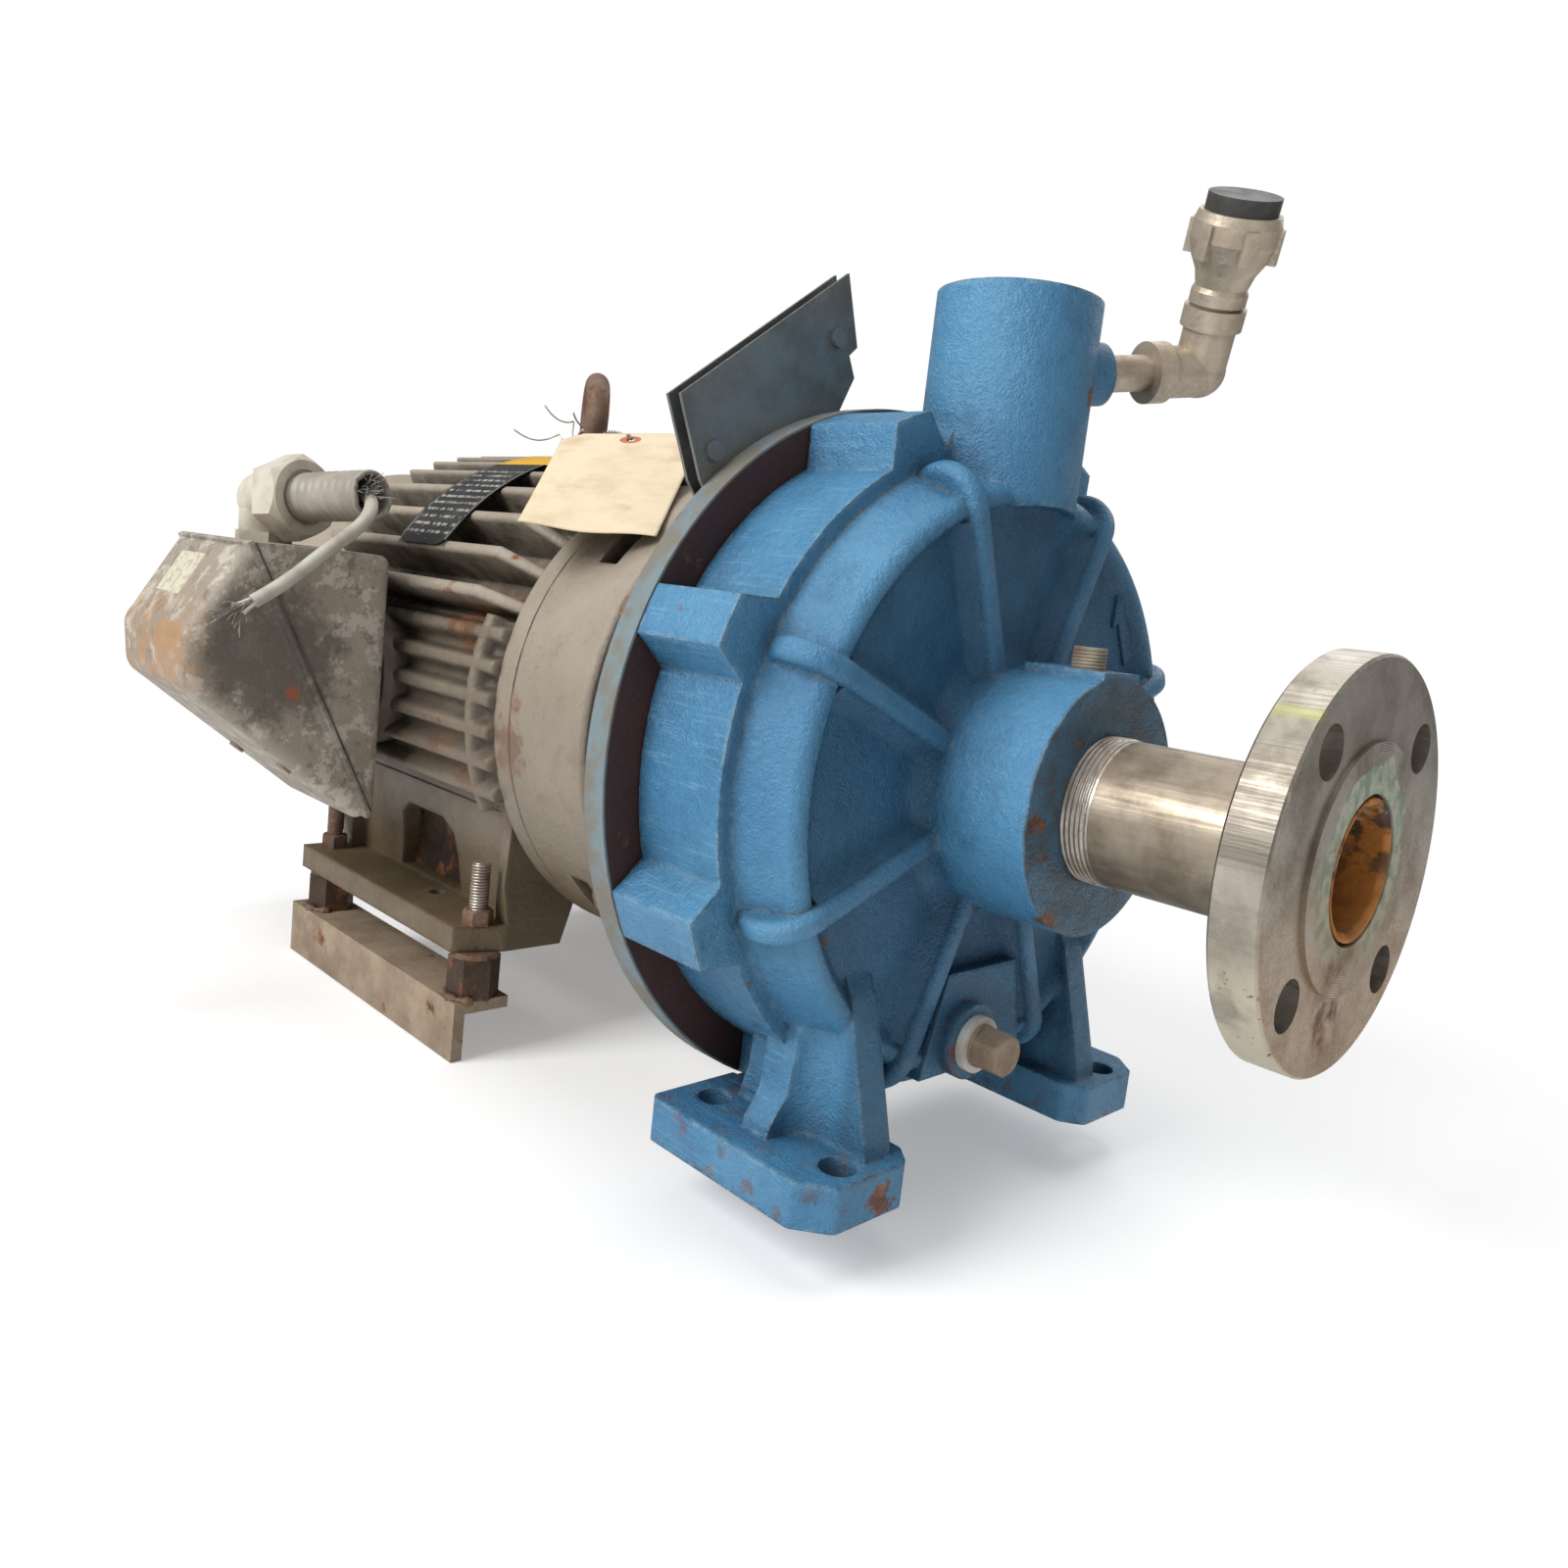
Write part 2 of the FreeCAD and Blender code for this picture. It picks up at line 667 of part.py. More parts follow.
def suction_flange():
    """Flat flange with a raised face, four bolt holes and a short tapered hub at its back."""
    back = suction_face_x - raised_face_height - flange_thickness
    body = turned([(back, pipe_radius + socket_clearance), (back, pipe_radius + 12),
                   (back, flange_radius - 1.0), (back + 1.0, flange_radius),
                   (suction_face_x - raised_face_height - 1.0, flange_radius),
                   (suction_face_x - raised_face_height, flange_radius - 1.0),
                   (suction_face_x - raised_face_height, raised_face_radius),
                   (suction_face_x, raised_face_radius), (suction_face_x, pipe_bore + 1.5),
                   (suction_face_x - 4, pipe_bore + 1.5), (suction_face_x - 4, pipe_radius + socket_clearance)])
    hole = rod(back - 1, suction_face_x + 1, flange_hole_radius, flange_bolt_circle / 2, 0)
    return body.cut(around(hole, flange_hole_count, 45))


def gauge_plug():
    """Small threaded plug in the pad on top of the boss."""
    plug = Part.makeCylinder(gauge_plug_radius, 19, Vector(gauge_port_x, 0, boss_pad_height - 10), Z_AXIS)
    key = hexagon(Vector(gauge_port_x, 0, boss_pad_height + 4), Z_AXIS, 6.35, 6)
    return plug.cut(key)


def drain_plug():
    """Hexagon-headed plug that points forward under the boss."""
    neck_end = drain_boss_x + drain_plug_neck
    stem = rod(drain_boss_x - 12, neck_end, drain_plug_radius, drain_port_y, drain_port_z)
    head = chamfered_hexagon(Vector(neck_end, drain_port_y, drain_port_z), X_AXIS, drain_plug_hex,
                             drain_plug_head)
    return stem.fuse(head)


def thread_tape():
    """Ring of sealing tape squeezed out between the drain plug and its boss."""
    end = drain_boss_x + tape_width
    ring = rod(drain_boss_x, end, tape_radius, drain_port_y, drain_port_z)
    return ring.cut(rod(drain_boss_x - 1, end + 1, drain_plug_radius, drain_port_y, drain_port_z))


def vent_frame():
    """Start, nipple direction, elbow centre and upper leg direction of the vent fittings."""
    axis = direction(vent_azimuth, vent_tilt)
    start = Vector(neck_x, 0, vent_port_z)
    elbow = start + axis * vent_elbow_distance
    sideways = Vector(axis.y, -axis.x, 0).normalize()
    upright = sideways.cross(axis).normalize()
    lean = math.radians(vent_lean)
    leg = upright * math.cos(lean) + sideways * math.sin(lean)
    return start, axis, elbow, leg


def vent_nipple():
    start, axis, elbow, leg = vent_frame()
    base = start + axis * (neck_radius - 2)
    length = vent_elbow_distance - neck_radius + 2 - vent_arm + vent_socket_depth
    outer = Part.makeCylinder(vent_pipe_radius, length, base, axis)
    return outer.cut(Part.makeCylinder(vent_pipe_bore, length + 2, base - axis, axis))


def vent_elbow():
    """Cast elbow with a banded collar at each mouth."""
    start, axis, elbow, leg = vent_frame()
    back = axis * -1
    arm = vent_arm
    body_radius = vent_collar_radius - 2.0
    pieces = [Part.makeSphere(body_radius + 0.4, elbow),
              Part.makeCylinder(body_radius, arm, elbow, back),
              Part.makeCylinder(body_radius, arm, elbow, leg),
              Part.makeCylinder(vent_collar_radius, 9, elbow + back * (arm - 9), back),
              Part.makeCylinder(vent_collar_radius, 9, elbow + leg * (arm - 9), leg)]
    body = pieces[0].fuse(pieces[1:])
    socket_radius = vent_pipe_radius + socket_clearance
    socket_floor = arm - vent_socket_depth
    cuts = [Part.makeCylinder(socket_radius, vent_socket_depth + 1, elbow + back * socket_floor, back),
            Part.makeCylinder(socket_radius, vent_socket_depth + 1, elbow + leg * socket_floor, leg),
            Part.makeCylinder(vent_pipe_bore, socket_floor + 1, elbow, back),
            Part.makeCylinder(vent_pipe_bore, socket_floor + 1, elbow, leg)]
    return body.cut(cuts)


def vent_coupling():
    """Bell-shaped coupling with finger ribs, standing on the elbow."""
    start, axis, elbow, leg = vent_frame()
    base = elbow + leg * (vent_arm - vent_socket_depth)
    lip = vent_cap_height - vent_arm + vent_socket_depth
    mouth = vent_cap_stem_radius + socket_clearance
    rings = [(0, vent_pipe_radius), (vent_socket_depth, vent_pipe_radius), (vent_socket_depth, 11.0), (12, 12.4),
             (17, 12.4), (19, 11.4), (25, 13.0), (31, 16.4), (38, 18.6), (lip + 6, 18.6), (lip + 10, 17.4),
             (lip + 10, mouth), (lip, mouth), (lip - 3, 6), (0, 6)]
    face = Part.Face(Part.makePolygon([Vector(r, 0, h) for h, r in rings + rings[:1]]))
    bell = face.revolve(Vector(0, 0, 0), Z_AXIS, 360)
    ribs = []
    for k in range(6):
        rib = Part.makeBox(7, 6, 14, Vector(14, -3, 31)).common(Part.makeCylinder(20.0, 60))
        rib.rotate(Vector(0, 0, 0), Z_AXIS, 60 * k + 20)
        ribs.append(rib)
    bell = bell.fuse(ribs)
    bell.Placement = FreeCAD.Placement(base, FreeCAD.Rotation(Z_AXIS, leg))
    return bell


def vent_cap():
    """Dark threaded piece in the mouth of the coupling."""
    start, axis, elbow, leg = vent_frame()
    base = elbow + leg * vent_cap_height
    stem = Part.makeCylinder(vent_cap_stem_radius, 11, base, leg)
    ring = Part.makeCylinder(vent_cap_radius, 7, base + leg * 10.0, leg)
    return stem.fuse(ring)


def motor_shaft():
    """Stepped shaft from the impeller to the fan."""
    shaft = turned([(impeller_front_end(), 0), (impeller_front_end(), shaft_pump_radius),
                   (disc_back_x - shaft_step, shaft_pump_radius), (disc_back_x - shaft_step, shaft_shoulder_radius),
                   (front_bearing_x + front_bearing_width, shaft_shoulder_radius),
                   (front_bearing_x + front_bearing_width, front_bearing_bore),
                   (front_bearing_x, front_bearing_bore), (front_bearing_x, shaft_core_radius),
                   (core_front_x - core_length - 10, shaft_core_radius),
                   (rear_bearing_x + rear_bearing_width, rear_bearing_bore + 4),
                   (rear_bearing_x + rear_bearing_width, rear_bearing_bore),
                   (frame_rear_x - fan_shaft_reach, rear_bearing_bore), (frame_rear_x - fan_shaft_reach, 0)])
    return shaft.cut(impeller_key())


def impeller_front_end():
    return impeller_back_x + impeller_outlet_width + impeller_shroud - 2


def impeller():
    """Closed impeller: two shrouds, swept blades, an eye ring and a hub."""
    back = impeller_back_x
    front = back + impeller_shroud + impeller_outlet_width
    rear_shroud = turned([(back, shaft_pump_radius), (back, impeller_radius),
                          (back + impeller_shroud * 0.8, impeller_radius),
                          (back + impeller_shroud, 60), (front, impeller_hub_radius - 2),
                          (front, shaft_pump_radius)])
    hub = tube(disc_front_x + spigot_length + 3, front, impeller_hub_radius, shaft_pump_radius)
    ring = impeller_eye_radius + impeller_shroud
    eye_front = panel_x - casing_wall + 5.0
    front_shroud = turned([(front - 4, impeller_radius), (front - 0.6, impeller_radius),
                           (front + 1.5, 70), (front + 4, ring + 6), (front + 6, ring), (eye_front, ring),
                           (eye_front, impeller_eye_radius),
                           (front + 1, impeller_eye_radius), (front - 2, 66)])
    blades = []
    for k in range(impeller_blade_count):
        blades.append(about_shaft(impeller_blade(back + 1, front - 0.5), 360.0 * k / impeller_blade_count))
    body = rear_shroud.fuse([hub, front_shroud] + blades)
    half = key_width / 2 + socket_clearance
    key_way = box(disc_front_x, front + 2, -half, half, 0, shaft_pump_radius + key_rise + 0.1)
    return body.cut(key_way)


def impeller_blade(x_start, x_end):
    """Blade swept backwards on an arc from the eye to the rim."""
    thickness = blade_thickness
    inner = Vector(x_start, impeller_eye_radius + 3, 0)
    outer_angle = math.radians(-blade_end_sweep)
    reach = impeller_radius - 1
    outer = Vector(x_start, reach * math.cos(outer_angle), reach * math.sin(outer_angle))
    middle_angle = math.radians(-blade_middle_sweep)
    middle_reach = (impeller_eye_radius + impeller_radius) / 2
    middle = Vector(x_start, middle_reach * math.cos(middle_angle), middle_reach * math.sin(middle_angle))
    arc = Part.Arc(inner, middle, outer).toShape()
    centre = arc.Curve.Center
    radius = arc.Curve.Radius
    ring = Part.makeCylinder(radius + thickness / 2, x_end - x_start, centre, X_AXIS)
    ring = ring.cut(Part.makeCylinder(radius - thickness / 2, x_end - x_start, centre, X_AXIS))
    span = [centre, centre + (inner - centre) * 1.6, centre + (middle - centre) * 2.4,
            centre + (outer - centre) * 1.6]
    wedge = Part.Face(Part.makePolygon(span + span[:1])).extrude(Vector(x_end - x_start, 0, 0))
    return ring.common(wedge).common(rod(x_start, x_end, reach))


def impeller_key():
    front = impeller_back_x + impeller_shroud + impeller_outlet_width
    half = key_width / 2
    return box(impeller_back_x - 20, front - 3, -half, half, shaft_pump_radius - key_depth,
               shaft_pump_radius + key_rise)


def impeller_screw():
    """Washer and socket screw that hold the impeller on the shaft's end."""
    seat = impeller_back_x + impeller_shroud + impeller_outlet_width
    top = seat + impeller_washer_thickness
    washer = rod(seat, top, impeller_hub_radius - 4)
    head = chamfered_hexagon(Vector(top, 0, 0), X_AXIS, impeller_screw_hex, impeller_screw_head)
    return washer.fuse(head)


def shaft_sleeve():
    """Sleeve under the seal, between the impeller's hub and the shaft's shoulder."""
    return tube(disc_back_x - shaft_step, disc_front_x + spigot_length + 3, sleeve_radius, shaft_pump_radius)


def seal_seat():
    """Stationary seal ring held in the bracket."""
    return tube(disc_back_x - seal_seat_half, disc_back_x + seal_seat_half, sleeve_radius + seal_room,
                sleeve_radius + 1.2)


def seal_head():
    """Turning seal ring with its drive band."""
    face = disc_back_x + seal_seat_half + seal_face_clearance
    step = face + seal_ring_length
    ring = tube(face, step, sleeve_radius + 6, sleeve_radius)
    band = tube(step, step + seal_band_length, sleeve_radius + 7, sleeve_radius)
    return ring.fuse(band)


def seal_spring():
    """Seal spring, drawn as three closed turns."""
    start = disc_back_x + seal_seat_half + seal_face_clearance + seal_ring_length + seal_band_length
    end = disc_front_x + spigot_length + 3
    turn = (end - start) / seal_coil_count
    coils = [Part.makeTorus(sleeve_radius + 3.2, turn / 2, Vector(start + turn * (k + 0.5), 0, 0), X_AXIS)
             for k in range(seal_coil_count)]
    return Part.makeCompound(coils)


def water_slinger():
    """Rubber slinger on the shaft in front of the motor's face."""
    start = motor_face_x + slinger_setback
    end = start + slinger_length
    return turned([(start, shaft_shoulder_radius), (start, slinger_radius - 2), (start + 2, slinger_radius),
                   (start + 3, slinger_radius - 10), (end, slinger_radius - 11), (end, shaft_shoulder_radius)])


def bell_pocket():
    """Pocket in the bell's front corner that takes one screw head."""
    x_back = motor_face_x - 24
    return box(x_back, motor_face_x - motor_lug_thickness, motor_bolt_circle_radius - 13, bell_radius + 3, -15, 15)


def drive_end_bell():
    """Cast end bell with the motor's face, register, bearing seat and screw pockets."""
    seat = front_bearing_outer
    back = front_bearing_x
    front = front_bearing_x + front_bearing_width
    body = turned([(motor_face_x + motor_register_height, shaft_shoulder_radius + 1.5),
                   (motor_face_x + motor_register_height, motor_register_radius),
                   (motor_face_x, motor_register_radius), (motor_face_x, bracket_flange_radius + bell_skirt_gap),
                   (motor_face_x + bell_skirt, bracket_flange_radius + bell_skirt_gap),
                   (motor_face_x + bell_skirt, bell_radius - 2), (motor_face_x + bell_skirt - 2, bell_radius),
                   (seam_x, bell_radius), (seam_x, 100),
                   (motor_face_x - 27, 92), (motor_face_x - 27, seat + 14), (back, seat + 8), (back, seat),
                   (front, seat), (front, shaft_shoulder_radius + 1.5)])
    holes = [about_shaft(bell_pocket(), 45 + 90 * k) for k in range(4)]
    bolt = rod(motor_face_x - 28, motor_face_x + 6, motor_bolt_radius + 0.3, motor_bolt_circle_radius, 0)
    holes += around(bolt, 4, 45)
    return body.cut(holes)


def bearing_parts(x, bore, outer, width, ball_count):
    """Outer race, inner race and balls of a deep-groove bearing."""
    depth = (outer - bore) * race_share
    pitch = (outer + bore) / 2
    ball = (outer - bore) / 2 * 0.62
    groove = Part.makeTorus(pitch, ball + bearing_clearance, Vector(x + width / 2, 0, 0), X_AXIS)
    outer_race = tube(x, x + width, outer, outer - depth).cut(groove)
    inner_race = tube(x, x + width, bore + depth, bore).cut(groove)
    ball_shape = Part.makeSphere(ball, Vector(x + width / 2, pitch, 0))
    balls = Part.makeCompound(around(ball_shape, ball_count))
    return outer_race, inner_race, balls


def stator_core():
    """Stack of stator laminations."""
    return tube(core_front_x - core_length, core_front_x, stator_radius, stator_bore)


def stator_windings():
    """The two rings of end turns on the stator."""
    front = turned([(core_front_x, stator_bore + 6), (core_front_x + 20, stator_bore + 9),
                    (core_front_x + 24, stator_bore + 14), (core_front_x + 20, stator_radius - 10),
                    (core_front_x, stator_radius - 7)])
    back_x = core_front_x - core_length
    rear = turned([(back_x, stator_bore + 6), (back_x - 20, stator_bore + 9),
                   (back_x - 24, stator_bore + 14), (back_x - 20, stator_radius - 10),
                   (back_x, stator_radius - 7)])
    return Part.makeCompound([front, rear])


def rotor_core():
    """Laminated rotor with its cast end rings."""
    radius = stator_bore - air_gap
    start = core_front_x - core_length
    return turned([(start - 14, shaft_core_radius), (start - 14, radius - 6), (start, radius - 4),
                   (start, radius), (core_front_x, radius), (core_front_x, radius - 4),
                   (core_front_x + 14, radius - 6), (core_front_x + 14, shaft_core_radius)])


def frame_fin(angle, tip, thickness, slope):
    """One axial cooling fin with a rounded crest, pointing to an angle from +Y towards +Z."""
    start = seam_x - frame_collar_length + 2
    end = frame_rear_x + frame_collar_length - 2
    root = frame_shell_radius - 2
    rise = max(tip - bell_radius, 1.0)
    profile = [(start, bell_radius - 4), (start - slope, bell_radius - 4 + rise + 4), (end + 6, tip),
               (end, bell_radius - 4), (end, root), (start, root)]
    half = thickness / 2
    wire = Part.makePolygon([Vector(x, r, -half) for x, r in profile + profile[:1]])
    fin = Part.Face(wire).extrude(Vector(0, 0, thickness))
    fin = soften(fin, thickness * fin_crest_share, lambda edge: edge.BoundBox.ZLength < 0.01
                 and edge.BoundBox.YMin > bell_radius - 4.1 and edge.BoundBox.XLength > 5)
    return about_shaft(fin, angle)


def frame_fins():
    """Thin fins over the top, thick ones on the shoulders and low ribs on both sides."""
    fins = [frame_fin(90 + fin_pitch * (k - top_fin_count // 2), fin_tip_radius, fin_thickness, fin_end_slope)
            for k in range(top_fin_count)]
    for k in range(shoulder_fin_count):
        angle = shoulder_first_angle + shoulder_pitch * k
        for place in (angle, 180 - angle):
            fins.append(frame_fin(place, fin_tip_radius, shoulder_fin_thickness, shoulder_slope))
    for k in range(side_rib_count):
        angle = side_first_angle + side_pitch * k
        for place in (angle, 180 - angle):
            fins.append(frame_fin(place, side_rib_radius, side_rib_thickness, fin_end_slope))
    return fins


def frame_cross_ribs():
    """Low rib across the side ribs, near their front ends."""
    ring = tube(cross_rib_x - cross_rib_width, cross_rib_x, side_rib_radius - 2.5, frame_shell_radius - 2)
    first = math.radians(side_first_angle)
    last = math.radians(side_first_angle + side_pitch * (side_rib_count - 1))
    far = side_rib_radius * 1.2
    sector = prism_x([(0, 0), (far * math.cos(first), far * math.sin(first)), (-far * 1.05, 0),
                      (far * math.cos(last), far * math.sin(last))], cross_rib_x - cross_rib_width, cross_rib_x)
    rib = ring.common(sector)
    return [rib, mirrored(rib)]


def motor_foot():
    """Foot, end gussets and arched web on the side towards +Y."""
    bottom = -motor_shaft_height
    top = bottom + motor_foot_thickness
    front = motor_hole_front_x + motor_foot_overhang
    rear = motor_hole_front_x - motor_hole_spacing_x - motor_foot_overhang
    foot = prism_z([(rear, motor_foot_inner_y), (rear, motor_foot_outer_y), (front - 9, motor_foot_outer_y),
                    (front, motor_foot_outer_y - 26), (front, motor_foot_inner_y)], bottom, top)
    gusset_profile = [(motor_foot_inner_y - 14, bottom), (motor_foot_outer_y - 26, bottom),
                      (motor_foot_outer_y - 27, top), (100, -98), (98, -58), (70, -62), (52, -100)]
    gussets = [prism_x(gusset_profile, front - 12, front),
               prism_x(gusset_profile, rear, rear + 12)]
    web = prism_x([(motor_foot_inner_y, bottom), (motor_foot_inner_y + 11, bottom),
                   (motor_foot_inner_y + 14, -98), (98, -60), (84, -56), (motor_foot_inner_y + 2, -96)],
                  rear + 2, front - 2)
    middle = (front + rear) / 2
    arch = prism_y([(middle - 36, top + 1), (middle + 36, top + 1), (middle + 31, -84), (middle + 20, -77),
                    (middle - 20, -77), (middle - 31, -84)], motor_foot_inner_y - 10,
                   motor_foot_inner_y + 40)
    web = web.cut(arch)
    drain = Part.makeCylinder(4.5, motor_foot_thickness + 2,
                              Vector(middle + 28, motor_foot_inner_y + 22, bottom - 1), Z_AXIS)
    return foot.cut(drain).fuse(gussets + [web])


def motor_frame():
    """Finned frame cast in one with its feet, lifting boss and the pad for the conduit box."""
    bore = stator_radius
    front_collar = seam_x - frame_collar_length
    rear_collar = frame_rear_x + frame_collar_length
    shell = turned([(seam_x, 0), (seam_x, bell_radius), (front_collar, bell_radius),
                    (front_collar - 8, frame_shell_radius), (rear_collar + 8, frame_shell_radius),
                    (rear_collar, bell_radius), (frame_rear_x, bell_radius), (frame_rear_x, 0)])
    fins = frame_fins() + frame_cross_ribs()
    boss = Part.makeCylinder(lifting_boss_radius, eyebolt_seat - 100, Vector(eyebolt_x, 0, 100), Z_AXIS)
    pad_x = box_front_x - box_length / 2
    pad = Part.makeCylinder(box_neck_radius + 6, -105 - box_pad_y, Vector(pad_x, -105, 0), Vector(0, -1, 0))
    foot = motor_foot()
    body = shell.fuse(fins + [boss, pad, foot, mirrored(foot)])
    mouth = 100.5
    inside = turned([(seam_x + 1, 0), (seam_x + 1, mouth), (seam_x, mouth), (core_front_x + 30, bore),
                     (core_front_x - core_length - 30, bore), (frame_rear_x, mouth), (frame_rear_x - 1, mouth),
                     (frame_rear_x - 1, 0)])
    holes = [inside]
    holes.append(Part.makeCylinder(6.0, 22, Vector(eyebolt_x, 0, eyebolt_seat - 21), Z_AXIS))
    holes.append(Part.makeCylinder(lifting_boss_radius + 1, 20, Vector(eyebolt_x, 0, eyebolt_seat), Z_AXIS))
    holes.append(Part.makeCylinder(box_entry_radius + 1, 50, Vector(pad_x, -100, 0), Vector(0, -1, 0)))
    holes.append(Part.makeCylinder(box_neck_radius + 7, 20, Vector(pad_x, box_pad_y, 0), Vector(0, -1, 0)))
    for side in (-1, 1):
        for k in (0, 1):
            centre = Vector(motor_hole_front_x - k * motor_hole_spacing_x,
                            side * motor_hole_spacing_y / 2, -motor_shaft_height - 1)
            holes.append(Part.makeCylinder(motor_hole_radius, motor_foot_thickness + 2, centre, Z_AXIS))
            spot = Vector(centre.x, centre.y, -motor_shaft_height + motor_foot_thickness)
            holes.append(Part.makeCylinder(11, 60, spot, Z_AXIS))
    return body.cut(holes)


def rear_bell():
    """End bell that carries the rear bearing."""
    back = rear_bearing_x
    front = rear_bearing_x + rear_bearing_width
    rim = fan_cover_radius - fan_cover_wall - 0.3
    bell = turned([(frame_rear_x, 100), (frame_rear_x, rim), (frame_rear_x - 10, rim),
                   (frame_rear_x - 14, 112), (frame_rear_x - 15, 60), (back - 5, rear_bearing_outer + 10),
                   (back - 5, rear_bearing_bore + 1.5), (back, rear_bearing_bore + 1.5),
                   (back, rear_bearing_outer), (front, rear_bearing_outer),
                   (front, rear_bearing_outer + 8), (frame_rear_x - 6, 60), (frame_rear_x - 5, 96),
                   (frame_rear_x + 3, 96), (frame_rear_x + 3, 100)])
    hole = Part.makeCylinder(cover_screw_radius + 0.1, 40, Vector(cover_screw_x, rim - 14, 0), Y_AXIS)
    return bell.cut(around(hole, 4, 45))


def cooling_fan():
    """Radial fan behind the rear bell."""
    hub_front = frame_rear_x - fan_setback
    hub_back = hub_front - fan_hub_length
    disc_front = hub_front - 5
    disc_back = disc_front - fan_disc_thickness
    disc = turned([(hub_front, rear_bearing_bore), (hub_front, fan_hub_radius - 4), (disc_front + 1, fan_hub_radius),
                   (disc_front, fan_radius), (disc_back, fan_radius), (disc_back - 1, fan_hub_radius),
                   (hub_back, fan_hub_radius - 4), (hub_back, rear_bearing_bore)])
    half = fan_blade_thickness / 2
    blade = box(disc_back + 1 - fan_blade_width, disc_back + 1, fan_hub_radius + 6, fan_radius, -half, half)
    return disc.fuse(around(blade, fan_blade_count))


def fan_cover():
    """Pressed cover with a ring of air slots in its end."""
    front = frame_rear_x - 1
    back = front - fan_cover_length
    wall = fan_cover_wall
    outer = fan_cover_radius
    inner = outer - wall
    cover = turned([(front, inner), (front, outer), (back + 16, outer), (back + 5, outer - 6), (back, outer - 18),
                    (back, 0), (back + wall, 0), (back + wall, outer - 19), (back + 6, inner - 6),
                    (back + 17, inner)])
    slots = []
    half = cover_slot_width / 2
    for row, ring in enumerate(cover_slot_rings):
        slot = box(back - 1, back + wall + 1, ring, ring + cover_slot_length, -half, half)
        slots += around(slot, cover_slot_count, row % 2 * 180.0 / cover_slot_count)
    hole = Part.makeCylinder(cover_screw_radius + 0.1, 20, Vector(cover_screw_x, outer - 10, 0), Y_AXIS)
    return cover.cut(slots + around(hole, 4, 45))


def fan_cover_screws():
    """Four pan-headed screws through the cover into the rear bell."""
    head = Part.makeCylinder(cover_screw_head_radius, cover_screw_head, Vector(cover_screw_x, fan_cover_radius, 0),
                             Y_AXIS)
    stem = Part.makeCylinder(cover_screw_radius, 12, Vector(cover_screw_x, fan_cover_radius - 12, 0), Y_AXIS)
    return Part.makeCompound(around(head.fuse(stem), 4, 45))


def eyebolt():
    """Forged eyebolt whose ring stands about in line with the view from the pump's front corner."""
    ring_z = eyebolt_seat + 5 + eyebolt_ring_radius + eyebolt_wire_radius - 1
    ring = Part.makeTorus(eyebolt_ring_radius, eyebolt_wire_radius, Vector(0, 0, 0), Vector(0, 1, 0))
    ring.rotate(Vector(0, 0, 0), Z_AXIS, eyebolt_turn)
    ring.translate(Vector(eyebolt_x, 0, ring_z))
    collar = Part.makeCone(12, 8, 6, Vector(eyebolt_x, 0, eyebolt_seat), Z_AXIS)
    stem = Part.makeCylinder(5.9, 20, Vector(eyebolt_x, 0, eyebolt_seat - 19), Z_AXIS)
    return ring.fuse([collar, stem])


def foot_places():
    places = []
    for side in (-1, 1):
        for k in (0, 1):
            places.append((motor_hole_front_x - k * motor_hole_spacing_x, side * motor_hole_spacing_y / 2, k))
    return places


rail_top = -shaft_height + rail_thickness


def foot_studs():
    """Four studs screwed into the rails and up through spacer and foot; the rear pair is longer."""
    studs = []
    for x, y, rear in foot_places():
        top = -motor_shaft_height + motor_foot_thickness + (rear_stud_rise if rear else front_stud_rise)
        start = rail_top - rail_thickness + stud_recess
        studs.append(Part.makeCylinder(foot_stud_radius, top - start, Vector(x, y, start), Z_AXIS))
    return Part.makeCompound(studs)


def foot_nuts():
    nuts = []
    seat = -motor_shaft_height + motor_foot_thickness
    for x, y, rear in foot_places():
        nut = chamfered_hexagon(Vector(x, y, seat), Z_AXIS, foot_nut_hex, foot_nut_height, 12 + 20 * rear)
        nuts.append(nut.cut(Part.makeCylinder(foot_stud_radius, 40, Vector(x, y, seat - 5), Z_AXIS)))
    return Part.makeCompound(nuts)


def foot_spacers():
    """Large nuts used as spacers between the rails and the motor's feet."""
    spacers = []
    height = -motor_shaft_height - rail_top - spacer_washer_thickness
    for x, y, rear in foot_places():
        nut = hexagon(Vector(x, y, rail_top), Z_AXIS, spacer_hex, height, 8 + 14 * rear)
        hole = Part.makeCylinder(foot_stud_radius + 0.3, 60, Vector(x, y, rail_top - 5), Z_AXIS)
        spacers.append(nut.cut(hole))
    return Part.makeCompound(spacers)


def foot_washers():
    washers = []
    for x, y, rear in foot_places():
        base = Vector(x, y, -motor_shaft_height - spacer_washer_thickness)
        washer = Part.makeCylinder(spacer_washer_radius, spacer_washer_thickness, base, Z_AXIS)
        hole = Part.makeCylinder(foot_stud_radius + 0.3, 10, base - Z_AXIS, Z_AXIS)
        washers.append(washer.cut(hole))
    return Part.makeCompound(washers)


def rail():
    """Steel angle under one side's motor feet, one leg hooked down over the base."""
    outer = rail_outer_y
    inner = outer - rail_leg
    low = rail_top - rail_leg
    profile = [(outer, low), (outer, rail_top), (inner, rail_top), (inner, rail_top - rail_thickness),
               (outer - rail_thickness, rail_top - rail_thickness), (outer - rail_thickness, low)]
    body = prism_x(profile, rail_rear_x, rail_front_x)
    holes = []
    for x, y, rear in foot_places():
        holes.append(Part.makeCylinder(foot_stud_radius + socket_clearance, 20, Vector(x, abs(y), rail_top - 12), Z_AXIS))
    return body.cut(holes)


